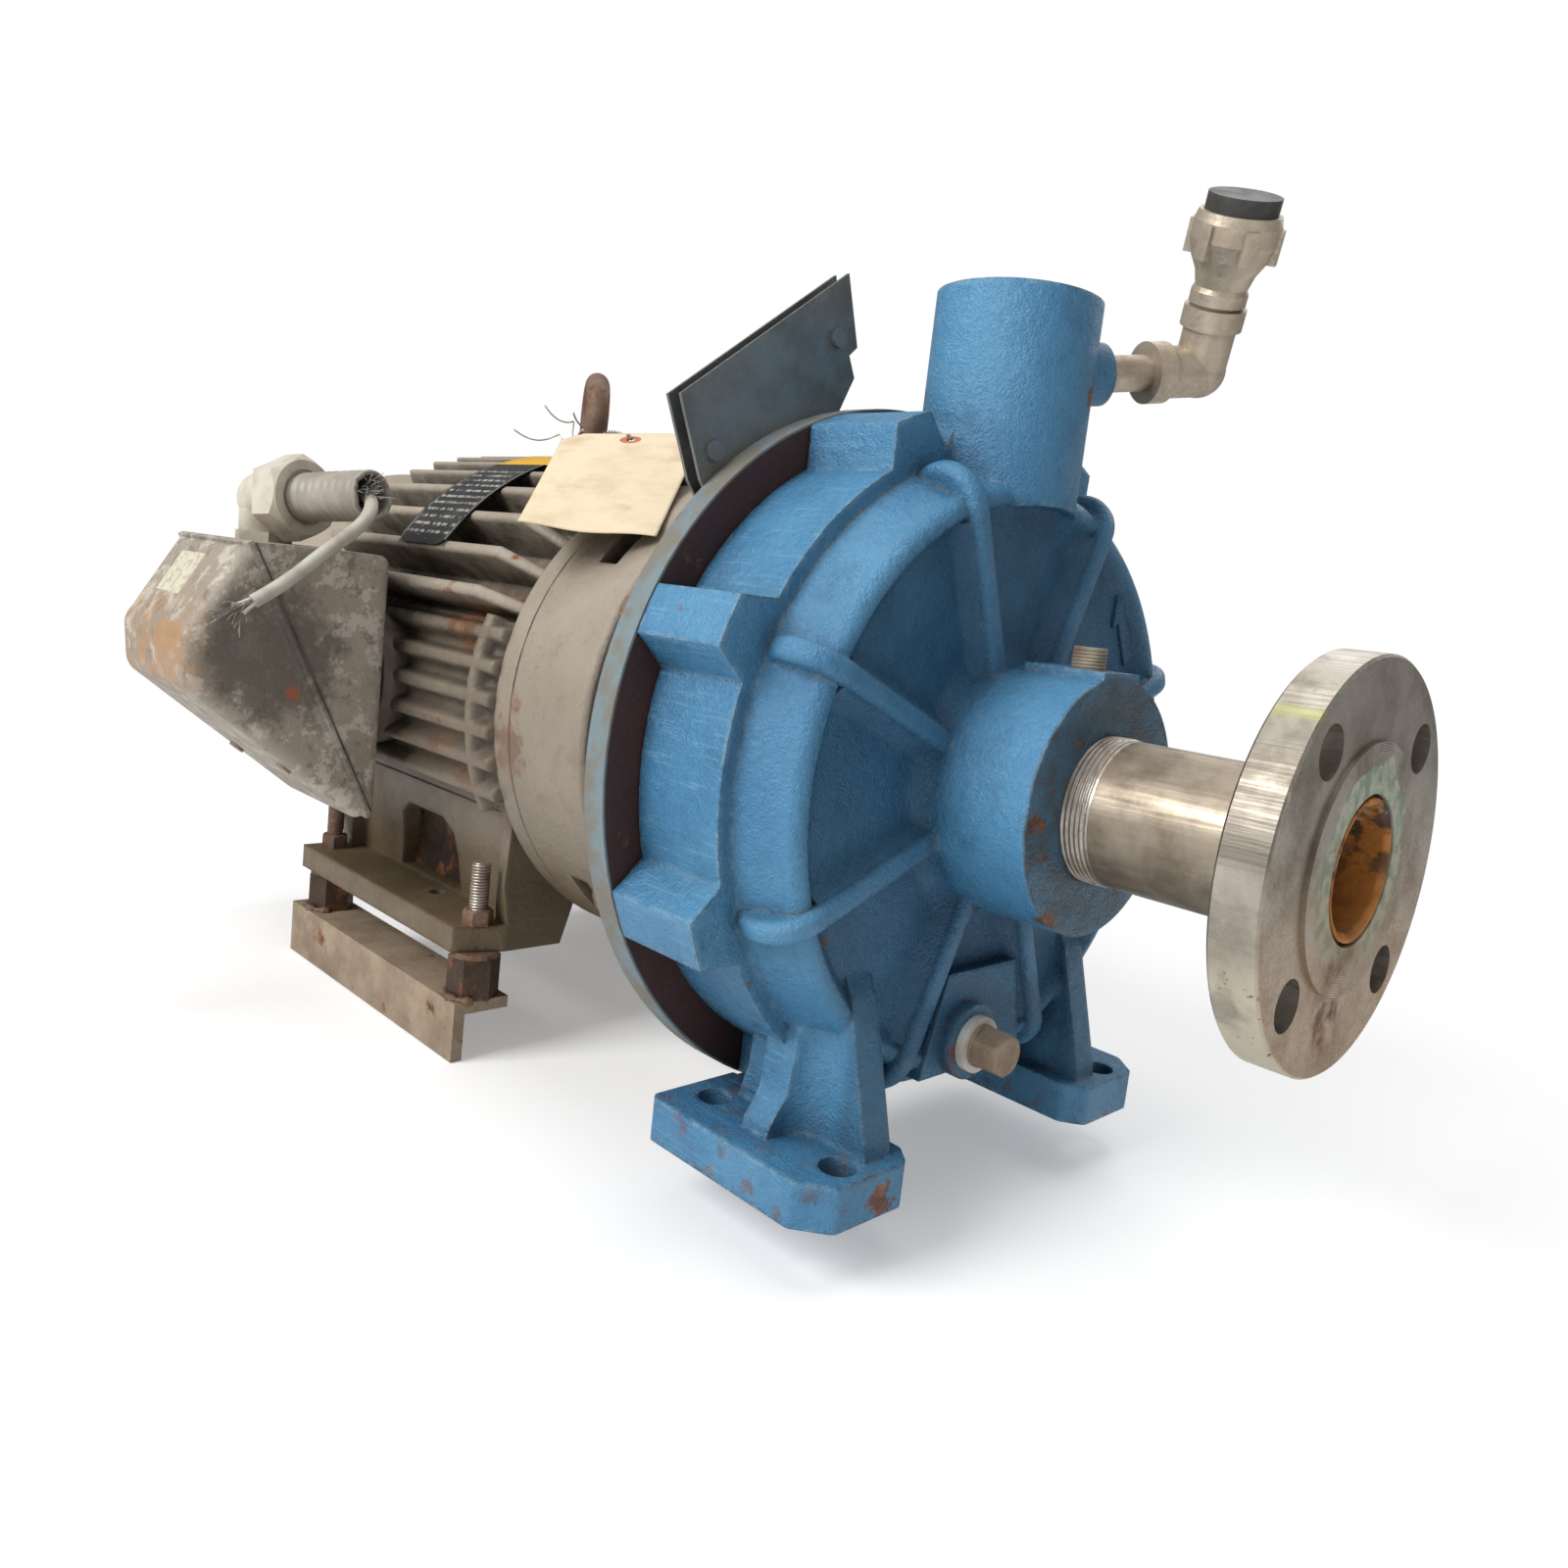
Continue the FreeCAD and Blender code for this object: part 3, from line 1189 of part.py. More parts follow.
def split_shift(distance):
    """Shift square to the diagonal parting face, pointing out of the base."""
    dy = box_split_y - box_inner_y
    dz = box_top_z - box_bottom_z
    length = math.hypot(dy, dz)
    return Vector(0, -dz / length * distance, dy / length * distance)


def conduit_base():
    """Three-cornered half of the conduit box that is screwed to the motor."""
    back_x = box_front_x - box_length
    outer = prism_x([(box_inner_y, box_top_z), (box_split_y, box_top_z), (box_inner_y, box_bottom_z)],
                    back_x, box_front_x)
    outer = soften(outer, box_edge_radius * 0.6, lambda edge: along_x(edge)
                   and edge.BoundBox.YMin > box_inner_y - 1 and edge.BoundBox.ZMin > 0)
    wall = box_wall
    slope = (box_split_y - box_inner_y) / (box_top_z - box_bottom_z)
    low = box_bottom_z + wall * 3.4
    hollow = prism_x([(box_inner_y - wall, box_top_z - wall),
                      (box_split_y - slope * wall + wall * 1.4, box_top_z - wall),
                      (box_inner_y - wall, low + 6)], back_x + wall, box_front_x - wall)
    mouth = hollow.copy()
    mouth.translate(split_shift(6))
    neck = Part.makeCylinder(box_neck_radius, box_pad_y - box_inner_y,
                             Vector(box_front_x - box_length / 2, box_pad_y, 0), Vector(0, -1, 0))
    hole = Part.makeCylinder(box_entry_radius, 30, Vector(box_front_x - box_length / 2, -130, 0),
                             Vector(0, -1, 0))
    entry = Part.makeCylinder(connector_thread_radius + socket_clearance, 20,
                              Vector(connector_centre.x, connector_centre.y, box_top_z - 12), Z_AXIS)
    return outer.fuse(neck).cut([hollow, mouth, hole, entry])


def conduit_cover():
    """Outer half of the conduit box: a wedge-shaped cover with a rounded nose."""
    back_x = box_front_x - box_length
    gap = split_shift(box_gasket)
    top = (box_split_y + gap.y, box_top_z + gap.z)
    bottom = (box_inner_y + gap.y, box_bottom_z + gap.z)
    outer = prism_x([top, (box_split_y - 7, box_top_z - 4), (box_nose_y, box_nose_high_z),
                     (box_nose_y + 2, box_nose_low_z), (box_inner_y - 8, box_bottom_z - 4), bottom],
                    back_x, box_front_x)
    outer = soften(outer, box_nose_radius, lambda edge: along_x(edge) and edge.BoundBox.YMin < box_nose_y + 5)
    outer = soften(outer, box_end_radius, lambda edge: edge.BoundBox.YMin < box_split_y - 10
                   and not along_x(edge) and edge.BoundBox.XLength < 0.01)
    wall = box_wall
    inset = [(top[0] - 1, top[1] - wall * 2.2), (box_nose_y + wall * 1.6, box_nose_high_z - wall),
             (box_nose_y + wall * 1.6, box_nose_low_z + wall), (box_inner_y - 16, box_bottom_z + wall),
             (bottom[0] - 1, bottom[1] + wall * 2.4)]
    hollow = prism_x(inset, back_x + box_end_radius, box_front_x - box_end_radius)
    mouth = hollow.copy()
    mouth.translate(split_shift(-5))
    holes = [hollow, mouth]
    for base, axis in cover_screw_places():
        holes.append(Part.makeCylinder(cover_screw_radius + 0.1, 16, base - axis * 15, axis))
    return outer.fuse(conduit_lip(gap)).cut(holes)


def conduit_lip(gap):
    """Raised band along the parting face on the cover's side."""
    out = box_lip_height
    high = Vector(0, box_split_y, box_top_z) + gap
    low = Vector(0, box_inner_y, box_bottom_z) + gap
    along = (high - low).normalize()
    across = split_shift(1.0)
    width = across * box_lip_width
    back_x = box_front_x - box_length
    ring = [high + along * out, low - along * out, low - along * out + width, high + along * out + width]
    plate = prism_x([(point.y, point.z) for point in ring], back_x - out, box_front_x + out)
    inset = along * (box_wall * 1.5)
    window = [high - inset - across, low + inset - across, low + inset + width + across,
              high - inset + width + across]
    return plate.cut(prism_x([(point.y, point.z) for point in window], back_x + box_wall,
                             box_front_x - box_wall))


def conduit_gasket():
    """Diagonal gasket between the halves of the box."""
    back_x = box_front_x - box_length
    gap = split_shift(box_gasket)
    inner_face = [(box_split_y, box_top_z), (box_inner_y, box_bottom_z)]
    outer_face = [(box_inner_y + gap.y, box_bottom_z + gap.z), (box_split_y + gap.y, box_top_z + gap.z)]
    sheet = prism_x(inner_face + outer_face, back_x, box_front_x)
    centre = Vector(0, (box_split_y + box_inner_y) / 2, (box_top_z + box_bottom_z) / 2)
    window_half = math.hypot(box_split_y - box_inner_y, box_top_z - box_bottom_z) / 2 - 14
    window = box(back_x + 10, box_front_x - 10, -5, 5, -window_half, window_half)
    tilt = math.degrees(math.atan2(box_inner_y - box_split_y, box_top_z - box_bottom_z))
    window.rotate(Vector(0, 0, 0), X_AXIS, tilt)
    window.translate(centre)
    return sheet.cut(window)


def cover_screw_places():
    """Seats and directions of the two screws on the cover's lower face."""
    nose = Vector(0, box_nose_y + 2, box_nose_low_z)
    tip = Vector(0, box_inner_y - 8, box_bottom_z - 4)
    along = (tip - nose).normalize()
    axis = Vector(0, along.z, -along.y)
    seat = nose + along * ((tip - nose).Length * box_screw_share)
    inset = box_end_radius + 8
    return [(Vector(box_front_x - inset, seat.y, seat.z), axis),
            (Vector(box_front_x - box_length + inset, seat.y, seat.z), axis)]


def conduit_screws():
    """Two screws that hold the cover, seated on its lower face."""
    screws = []
    for base, axis in cover_screw_places():
        head = Part.makeCylinder(box_screw_head_radius, box_screw_head, base, axis)
        screws.append(head.fuse(Part.makeCylinder(cover_screw_radius, 12, base - axis * 12, axis)))
    return Part.makeCompound(screws)


def connector_axis():
    return direction(connector_azimuth, connector_tilt)


def conduit_connector():
    """Right-angle connector body, with the flange nut that seats on the box."""
    axis = connector_axis()
    centre = connector_centre
    hub_height = centre.z - box_top_z
    foot = Vector(centre.x, centre.y, box_top_z)
    hub = Part.makeCylinder(connector_hub_radius, hub_height, foot, Z_AXIS)
    ball = Part.makeSphere(connector_body_radius, centre)
    arm = Part.makeCylinder(connector_body_radius, connector_nut_start, centre, axis)
    shank = Part.makeCylinder(stub_radius + 1.6, connector_nut_length, centre + axis * (connector_nut_start - 1),
                              axis)
    seat = hexagon(foot, Z_AXIS, connector_seat_hex, 5.0, connector_azimuth - 30)
    thread = Part.makeCylinder(connector_thread_radius, 11, foot - Z_AXIS * 10, Z_AXIS)
    body = ball.fuse([hub, arm, shank, seat, thread])
    bore = Part.makeCylinder(stub_radius, 60, centre + axis * 4, axis)
    drop = Part.makeCylinder(8.0, centre.z - box_top_z + 15, foot - Z_AXIS * 15, Z_AXIS)
    return body.cut([bore, drop])


def conduit_nut():
    """Large gland nut that clamps the conduit."""
    axis = connector_axis()
    base = connector_centre + axis * connector_nut_start
    nut = chamfered_hexagon(base, axis, connector_nut_hex, connector_nut_length, 15)
    return nut.cut(Part.makeCylinder(stub_radius + 1.6, 60, base - axis, axis))


def conduit_stub():
    """Short length of conduit that was cut off."""
    axis = connector_axis()
    base = connector_centre + axis * 5.0
    length = stub_end - 5.0
    outer = Part.makeCylinder(stub_radius - 0.1, length, base, axis)
    return outer.cut(Part.makeCylinder(stub_bore, length + 2, base - axis, axis))


cable_route = [Vector(-311.7, -153.4, 100.8), Vector(-290.1, -151.0, 97.9), Vector(-278.5, -154.1, 91.7),
               Vector(-271.0, -162.6, 81.9), Vector(-271.9, -180.8, 66.6), Vector(-272.8, -198.5, 49.5),
               Vector(-274.2, -213.0, 39.5)]


def rounded_route(points):
    """Wire of straight runs joined by tangent arcs, and the arcs' radii."""
    edges = []
    radii = []
    start = points[0]
    for before, corner, after in zip(points, points[1:], points[2:]):
        incoming = (corner - before).normalize()
        outgoing = (after - corner).normalize()
        turn = incoming.getAngle(outgoing)
        shorter = min((corner - before).Length, (after - corner).Length)
        trim = 0.45 * shorter
        radii.append(trim / math.tan(turn / 2))
        arc_start = corner - incoming * trim
        arc_end = corner + outgoing * trim
        bisector = (outgoing - incoming).normalize()
        centre = corner + bisector * (radii[-1] / math.cos(turn / 2))
        middle = centre - bisector * radii[-1]
        edges.append(Part.makeLine(start, arc_start))
        edges.append(Part.Arc(arc_start, middle, arc_end).toShape())
        start = arc_end
    edges.append(Part.makeLine(start, points[-1]))
    return Part.Wire(edges), radii


def loose_cable():
    """Light cable that hangs out of the cut conduit and ends bare."""
    path, radii = rounded_route(cable_route)
    print("cable bend radii", [round(r, 1) for r in radii], "length", round(path.Length, 1))
    first = (cable_route[1] - cable_route[0]).normalize()
    circle = Part.Wire([Part.Circle(cable_route[0], first, cable_radius).toShape()])
    cable = path.makePipeShell([circle], True, False)
    print("cable volume ratio", round(cable.Volume / (math.pi * cable_radius ** 2 * path.Length), 4))
    return cable


guard_outline = [(-131.8, 146.2), (-45.0, 214.3), (-34.5, 184.8), (-39.0, 180.4), (-34.2, 171.6),
                 (-44.0, 150.0), (-52.0, 132.0), (-104.0, 98.0), (-117.4, 114.3)]
guard_screw_places = [(-112.0, 127.0), (-48.0, 186.0)]
guard_foot_places = [(-97.0, 109.0), (-71.0, 126.0)]
guard_screw_radius = 2.1
guard_screw_depth = 8.0
guard_bolt_room = 9.6


def guard_plate(offset):
    """One sheet of the slinger guard, standing square behind the disc."""
    start = disc_back_x - offset
    plate = prism_x(guard_outline, start - guard_thickness, start)
    places = guard_screw_places + guard_foot_places
    holes = [rod(start - 5, start + 5, guard_screw_radius + 0.1, y, z) for y, z in places]
    bolt_angle = math.radians(lobe_first_angle + 90)
    holes.append(rod(start - 5, start + 5, guard_bolt_room, casing_bolt_circle_radius * math.cos(bolt_angle),
                     casing_bolt_circle_radius * math.sin(bolt_angle)))
    return plate.cut(holes)


def guard_spacers():
    """Sleeves that hold the two guard plates apart."""
    spacers = []
    for y, z in guard_screw_places + guard_foot_places:
        outer = rod(disc_back_x - guard_gap, disc_back_x - guard_thickness, 4.5, y, z)
        spacers.append(outer.cut(rod(disc_back_x - guard_gap - 1, disc_back_x, guard_screw_radius + 0.1, y, z)))
    return Part.makeCompound(spacers)


def guard_screws():
    """Two screws with nuts above the disc and two screws into the disc's back."""
    screws = []
    end = disc_back_x - guard_gap - guard_thickness
    for y, z in guard_screw_places:
        stem = rod(end - 3, disc_back_x, guard_screw_radius, y, z)
        head = rod(disc_back_x, disc_back_x + 2.2, 4.2, y, z)
        nut = hexagon(Vector(end, y, z), Vector(-1, 0, 0), 7.0, 3.0)
        screws.append(stem.fuse([head, nut]))
    for y, z in guard_foot_places:
        stem = rod(end, disc_back_x + guard_screw_depth, guard_screw_radius, y, z)
        head = rod(end - 2.6, end, 4.2, y, z)
        screws.append(stem.fuse(head))
    return Part.makeCompound(screws)


def bent_plate(x_start, x_end, angle_start, angle_end, radius, thickness):
    """Sheet bent about the shaft axis between two angles from +Y towards +Z."""
    ring = tube(x_start, x_end, radius + thickness, radius)
    a = math.radians(angle_start)
    b = math.radians(angle_end)
    far = radius * 1.3
    middle = (a + b) / 2
    corners = [(0, 0), (far * math.cos(a), far * math.sin(a)),
               (far * 1.1 * math.cos(middle), far * 1.1 * math.sin(middle)),
               (far * math.cos(b), far * math.sin(b))]
    return ring.common(prism_x(corners, min(x_start, x_end), max(x_start, x_end)))


def nameplate():
    """Thin curved plate on the fins."""
    return bent_plate(plate_front_x - plate_width, plate_front_x, plate_first_angle, plate_last_angle,
                      fin_tip_radius + plate_seat, plate_thickness)


def paper_tag():
    """Card tag with two clipped corners, which rests on the fins and on the bell."""
    across = tag_across.normalize()
    down = (tag_down - across * across.dot(tag_down)).normalize()
    face = down.cross(across).normalize()
    clip = tag_clip
    outline = [(clip, 0), (tag_width - clip, 0), (tag_width, clip), (tag_width, tag_length),
               (0, tag_length), (0, clip)]
    corners = [tag_corner + across * u + down * v for u, v in outline]
    card = Part.Face(Part.makePolygon(corners + corners[:1])).extrude(face * tag_thickness)
    ring = tag_corner + across * (tag_width / 2) + down * tag_hole_inset
    return card.cut(Part.makeCylinder(tag_hole_radius, 4, ring - face * 2, face))


def write(name, shape):
    placed = shape.copy()
    placed.translate(Vector(0, 0, shaft_height))
    placed.exportStep("parts/" + name + ".step")


def main():
    os.makedirs("parts", exist_ok=True)
    front_outer, front_inner, front_balls = bearing_parts(front_bearing_x, front_bearing_bore,
                                                          front_bearing_outer, front_bearing_width, 8)
    rear_outer, rear_inner, rear_balls = bearing_parts(rear_bearing_x, rear_bearing_bore,
                                                       rear_bearing_outer, rear_bearing_width, 8)
    nodes = {
        "volute_casing": volute_casing(),
        "casing_gasket": casing_gasket(),
        "bracket": bracket(),
        "casing_bolts": casing_bolts(),
        "bracket_bolts": bracket_bolts(),
        "suction_nipple": suction_nipple(),
        "suction_flange": suction_flange(),
        "gauge_plug": gauge_plug(),
        "drain_plug": drain_plug(),
        "thread_tape": thread_tape(),
        "vent_nipple": vent_nipple(),
        "vent_elbow": vent_elbow(),
        "vent_coupling": vent_coupling(),
        "vent_cap": vent_cap(),
        "motor_shaft": motor_shaft(),
        "impeller": impeller(),
        "impeller_key": impeller_key(),
        "impeller_screw": impeller_screw(),
        "shaft_sleeve": shaft_sleeve(),
        "seal_seat": seal_seat(),
        "seal_head": seal_head(),
        "seal_spring": seal_spring(),
        "water_slinger": water_slinger(),
        "drive_end_bell": drive_end_bell(),
        "front_bearing_outer_race": front_outer,
        "front_bearing_inner_race": front_inner,
        "front_bearing_balls": front_balls,
        "rear_bearing_outer_race": rear_outer,
        "rear_bearing_inner_race": rear_inner,
        "rear_bearing_balls": rear_balls,
        "stator_core": stator_core(),
        "stator_windings": stator_windings(),
        "rotor_core": rotor_core(),
        "motor_frame": motor_frame(),
        "rear_bell": rear_bell(),
        "cooling_fan": cooling_fan(),
        "fan_cover": fan_cover(),
        "fan_cover_screws": fan_cover_screws(),
        "eyebolt": eyebolt(),
        "foot_studs": foot_studs(),
        "foot_nuts": foot_nuts(),
        "foot_spacers": foot_spacers(),
        "foot_washers": foot_washers(),
        "rail_left": mirrored(rail()),
        "rail_right": rail(),
        "conduit_base": conduit_base(),
        "conduit_cover": conduit_cover(),
        "conduit_gasket": conduit_gasket(),
        "conduit_screws": conduit_screws(),
        "conduit_connector": conduit_connector(),
        "conduit_nut": conduit_nut(),
        "conduit_stub": conduit_stub(),
        "loose_cable": loose_cable(),
        "guard_plate_front": guard_plate(0),
        "guard_plate_rear": guard_plate(guard_gap),
        "guard_spacers": guard_spacers(),
        "guard_screws": guard_screws(),
        "nameplate": nameplate(),
        "paper_tag": paper_tag(),
    }
    for name, shape in nodes.items():
        write(name, shape)
        print(name, "solids", len(shape.Solids), "valid", shape.isValid(), "volume", round(shape.Volume))
    print("nodes", len(nodes))


main()
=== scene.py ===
# %% [markdown]
# # A weathered close-coupled pump
# The pump is a blue cast casing with a steel suction flange, bolted to a finned electric motor.
# The solids come from a CAD model, so this lesson adds what CAD leaves out: paint, rust, casting
# grain, threads, wires and a paper tag. First the solids are loaded and their box is kept.

# %% Load the solids
import bmesh
import bpy
import json
import math
import numpy as np
from mathutils import Matrix, Vector


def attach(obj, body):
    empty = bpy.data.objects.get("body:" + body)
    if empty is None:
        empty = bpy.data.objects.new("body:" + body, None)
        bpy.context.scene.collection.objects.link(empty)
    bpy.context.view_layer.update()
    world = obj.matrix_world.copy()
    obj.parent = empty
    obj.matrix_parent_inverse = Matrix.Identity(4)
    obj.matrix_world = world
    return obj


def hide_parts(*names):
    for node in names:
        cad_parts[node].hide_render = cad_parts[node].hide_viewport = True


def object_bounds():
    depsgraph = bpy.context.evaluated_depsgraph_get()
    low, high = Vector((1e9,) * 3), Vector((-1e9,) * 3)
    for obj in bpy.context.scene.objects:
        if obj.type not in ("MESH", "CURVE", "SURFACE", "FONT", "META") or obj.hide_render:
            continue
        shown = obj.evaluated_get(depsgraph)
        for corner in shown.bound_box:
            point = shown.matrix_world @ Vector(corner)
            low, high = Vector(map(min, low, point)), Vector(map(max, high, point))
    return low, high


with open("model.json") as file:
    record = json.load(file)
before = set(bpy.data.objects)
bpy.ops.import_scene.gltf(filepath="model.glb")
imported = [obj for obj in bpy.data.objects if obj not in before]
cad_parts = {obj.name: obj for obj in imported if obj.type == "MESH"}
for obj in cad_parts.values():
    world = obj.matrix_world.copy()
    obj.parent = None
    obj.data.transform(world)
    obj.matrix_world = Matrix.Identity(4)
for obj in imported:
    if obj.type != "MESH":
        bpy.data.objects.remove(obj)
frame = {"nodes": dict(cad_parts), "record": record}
cad_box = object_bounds()
shaft_height = 0.165
print("nodes", len(frame["nodes"]), "box", [tuple(round(v, 4) for v in c) for c in cad_box])

# %% [markdown]
# ## Camera
# A photograph can be matched once its camera is known. The place, the three axes and the focal
# length below were solved from the flange's bolt circle and the motor's feet. A camera looks down
# its own minus Z, so the third column of its matrix is the direction backwards.

# %% Camera
image_width = 1600
focal_pixels = 1212.57
image_centre = (807.9, 767.4)
forward = Vector((-0.69621, 0.70509, -0.13468)).normalized()
right = Vector((0.69619, 0.70896, 0.11269)).normalized()
upward = right.cross(forward).normalized()



def add_object(name, data):
    """New object of the scene that shows some data."""
    made = bpy.data.objects.new(name, data)
    bpy.context.scene.collection.objects.link(made)
    return made


camera = bpy.context.scene.camera = add_object("camera", bpy.data.cameras.new("camera"))
turn = Matrix((right, upward, -forward)).transposed()
camera.matrix_world = Matrix.Translation((0.31953, -0.43442, 0.23963)) @ turn.to_4x4()
camera.data.sensor_width = 36.0
camera.data.lens = focal_pixels / image_width * camera.data.sensor_width
camera.data.shift_x = (image_width / 2 - image_centre[0]) / image_width
camera.data.shift_y = (image_centre[1] - image_width / 2) / image_width
camera.data.clip_start = 0.01
print("lens", round(camera.data.lens, 2), "mm")

# %% [markdown]
# ## Mesh helpers
# Most added pieces are surfaces over a grid of two parameters. One helper turns a whole array of
# points into a mesh, and joins the grid to itself where the surface closes. Numpy makes all the
# faces at once, which is quicker than a loop and keeps the shape's formula in one place.


# %% Surfaces from arrays
def column(start, end, count):
    """Evenly spaced numbers as a column, one for each row of a grid."""
    return np.linspace(start, end, count)[:, None]


def once_round(count):
    """Evenly spaced angles of a full turn."""
    return np.linspace(0, 2 * np.pi, count, endpoint=False)


def grid_faces(rows, columns, wrap_rows=False, wrap_columns=True):
    """Corner numbers of every face: each point joins its right, upper and upper right neighbours."""
    i = np.arange(rows if wrap_rows else rows - 1)
    j = np.arange(columns if wrap_columns else columns - 1)
    i, j = [a.ravel() for a in np.meshgrid(i, j, indexing="ij")]
    i2 = (i + 1) % rows
    j2 = (j + 1) % columns
    return np.stack([i * columns + j, i * columns + j2, i2 * columns + j2, i2 * columns + j], 1)


def make_piece(name, surfaces, finish_name, wrap_rows=False, wrap_columns=True, flip=False, faces=None):
    """Mesh from grids of points in metres, on the fixed body; points that fall together are joined."""
    points = np.concatenate([grid.reshape(-1, 3) for grid in surfaces])
    starts = np.cumsum([0] + [grid.size // 3 for grid in surfaces])
    if faces is None:
        faces = np.concatenate([grid_faces(*grid.shape[:2], wrap_rows, wrap_columns) + start
                                for grid, start in zip(surfaces, starts)])[:, ::-1 if flip else 1]
    mesh = bpy.data.meshes.new(name)
    mesh.from_pydata(points.tolist(), [], list(faces))
    work = bmesh.new()
    work.from_mesh(mesh)
    bmesh.ops.remove_doubles(work, verts=work.verts, dist=2e-6)
    work.to_mesh(mesh)
    work.free()
    mesh.shade_smooth()
    mesh.materials.append(finish[finish_name])
    piece = add_object(name, mesh)
    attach(piece, "pump")
    print(name, "faces", len(mesh.polygons))
    return piece


def thicken(piece, name, thickness, offset=0.0):
    """Thin sheet given a thickness."""
    thick = piece.modifiers.new(name, "SOLIDIFY")
    thick.thickness = thickness
    thick.offset = offset


def frame_along(axis):
    """Two unit directions square to an axis and to each other."""
    axis = np.asarray(axis, float) / np.linalg.norm(axis)
    helper = np.array([0, 0, 1.0]) if abs(axis[2]) < 0.9 else np.array([1.0, 0, 0])
    side = np.cross(axis, helper)
    side /= np.linalg.norm(side)
    return side, np.cross(axis, side)


def ray(a, side, other):
    """Unit direction at an angle between two square directions."""
    return np.cos(a) * side + np.sin(a) * other


def turned_surface(base, axis, stations, radii, count=96):
    """Rings about an axis: point = base + station * axis + radius * (cos a * side + sin a * other)."""
    axis = np.asarray(axis, float) / np.linalg.norm(axis)
    side, other = frame_along(axis)
    a = once_round(count)
    ring = np.cos(a)[:, None] * side + np.sin(a)[:, None] * other
    s = np.asarray(stations, float)
    r = np.asarray(radii, float)
    s = s[:, None] if s.ndim == 1 else s
    r = r[:, None] if r.ndim == 1 else r
    return np.asarray(base, float) + s[..., None] * axis + r[..., None] * ring[None]


def thread_surface(base, axis, start, end, radius, pitch, depth, taper=0.0, count=64):
    """Screw thread: r(s, a) = radius - taper * s - depth * (0.5 - 0.5 * cos(2 pi s / pitch - a)), capped."""
    s = np.linspace(start, end, int((end - start) / pitch * 12) + 2)
    a = once_round(count)
    r = radius - taper * (s[:, None] - start) - depth * (0.5 - 0.5 * np.cos(2 * np.pi * s[:, None] / pitch - a))
    s = np.concatenate([s[:1], s, s[-1:]])
    r = np.concatenate([np.zeros((1, count)), r, np.zeros((1, count))])
    return turned_surface(base, axis, s, r, count)


def tube_along(path, radius, count=8):
    """Tube with closed ends: a circle carried along a path, square to the path's direction."""
    path = np.asarray(path, float)
    direction = np.gradient(path, axis=0)
    direction /= np.linalg.norm(direction, axis=1)[:, None]
    side = np.cross(direction, np.array([0.31, 0.23, 0.92]))
    side /= np.linalg.norm(side, axis=1)[:, None]
    other = np.cross(direction, side)
    a = once_round(count)
    radius = np.broadcast_to(radius, (len(path),))
    rings = path[:, None] + radius[:, None, None] * (np.cos(a)[None, :, None] * side[:, None]
                                                     + np.sin(a)[None, :, None] * other[:, None])
    first = np.broadcast_to(path[0], (1, count, 3))
    last = np.broadcast_to(path[-1], (1, count, 3))
    return np.concatenate([first, rings, last])


print("a 3 by 4 grid has", len(grid_faces(3, 4, False, False)), "faces")

# %% [markdown]
# ## Node helpers
# A procedural material is a small network of nodes. Writing each node with its inputs in one call
# keeps the network readable: a value that is a socket is linked, and any other value is set.


# %% Build nodes
bench = {"tree": None}


def link(value, socket):
    bench["tree"].links.new(value, socket)


def put_in(value, socket):
    """Link a value that is a socket, and set any other value."""
    if isinstance(value, bpy.types.NodeSocket):
        link(value, socket)
    else:
        socket.default_value = value


def add_node(kind, inputs=None, **settings):
    """Node of a kind in the tree on the bench, with its settings and inputs."""
    made = bench["tree"].nodes.new(kind)
    for key, value in settings.items():
        setattr(made, key, value)
    for key, value in (inputs or {}).items():
        put_in(value, made.inputs[key])
    return made


def reckon(operation, first, second=0.0, clamp=False):
    """Result of one sum or comparison on two values."""
    return add_node("ShaderNodeMath", {0: first, 1: second}, operation=operation, use_clamp=clamp).outputs[0]


def plus(first, second):
    return reckon("ADD", first, second)


def minus(first, second, clamp=False):
    return reckon("SUBTRACT", first, second, clamp)


def most(first, second):
    return reckon("MAXIMUM", first, second)


def times(*values):
    """All the values multiplied together."""
    result = values[0]
    for value in values[1:]:
        result = reckon("MULTIPLY", result, value)
    return result


def mix(factor, first, second):
    """Colour between two colours."""
    made = add_node("ShaderNodeMix", {"Factor": factor}, data_type="RGBA")
    for socket, value in ((made.inputs[6], first), (made.inputs[7], second)):
        put_in((*value, 1.0) if isinstance(value, tuple) else value, socket)
    return made.outputs[2]


def coats(colour, *layers):
    """The colour with each (mask, tone) laid over it in turn."""
    for mask, tone in layers:
        colour = mix(mask, colour, tone)
    return colour


def step(value, low, high, out_low=0.0, out_high=1.0):
    """Value stretched so that low becomes out_low and high becomes out_high, with a smooth step."""
    made = add_node("ShaderNodeMapRange", {0: value, 1: low, 2: high, 3: out_low, 4: out_high},
                    interpolation_type="SMOOTHSTEP")
    return made.outputs[0]


def between(value, low, high, edge):
    """1 where the value lies between two limits, with soft edges."""
    return times(step(value, low - edge, low + edge),
                   step(value, high - edge, high + edge, 1.0, 0.0))


def object_point():
    return add_node("ShaderNodeTexCoord").outputs["Object"]


def point_parts(vector=None):
    """X, Y and Z of a vector, or else of the point."""
    vector = object_point() if vector is None else vector
    return add_node("ShaderNodeSeparateXYZ", {"Vector": vector}).outputs


def stretched(scale):
    """The point's coordinates, each multiplied, for streaks and brushed lines."""
    return add_node("ShaderNodeMapping", {"Vector": object_point(), "Scale": scale}).outputs[0]


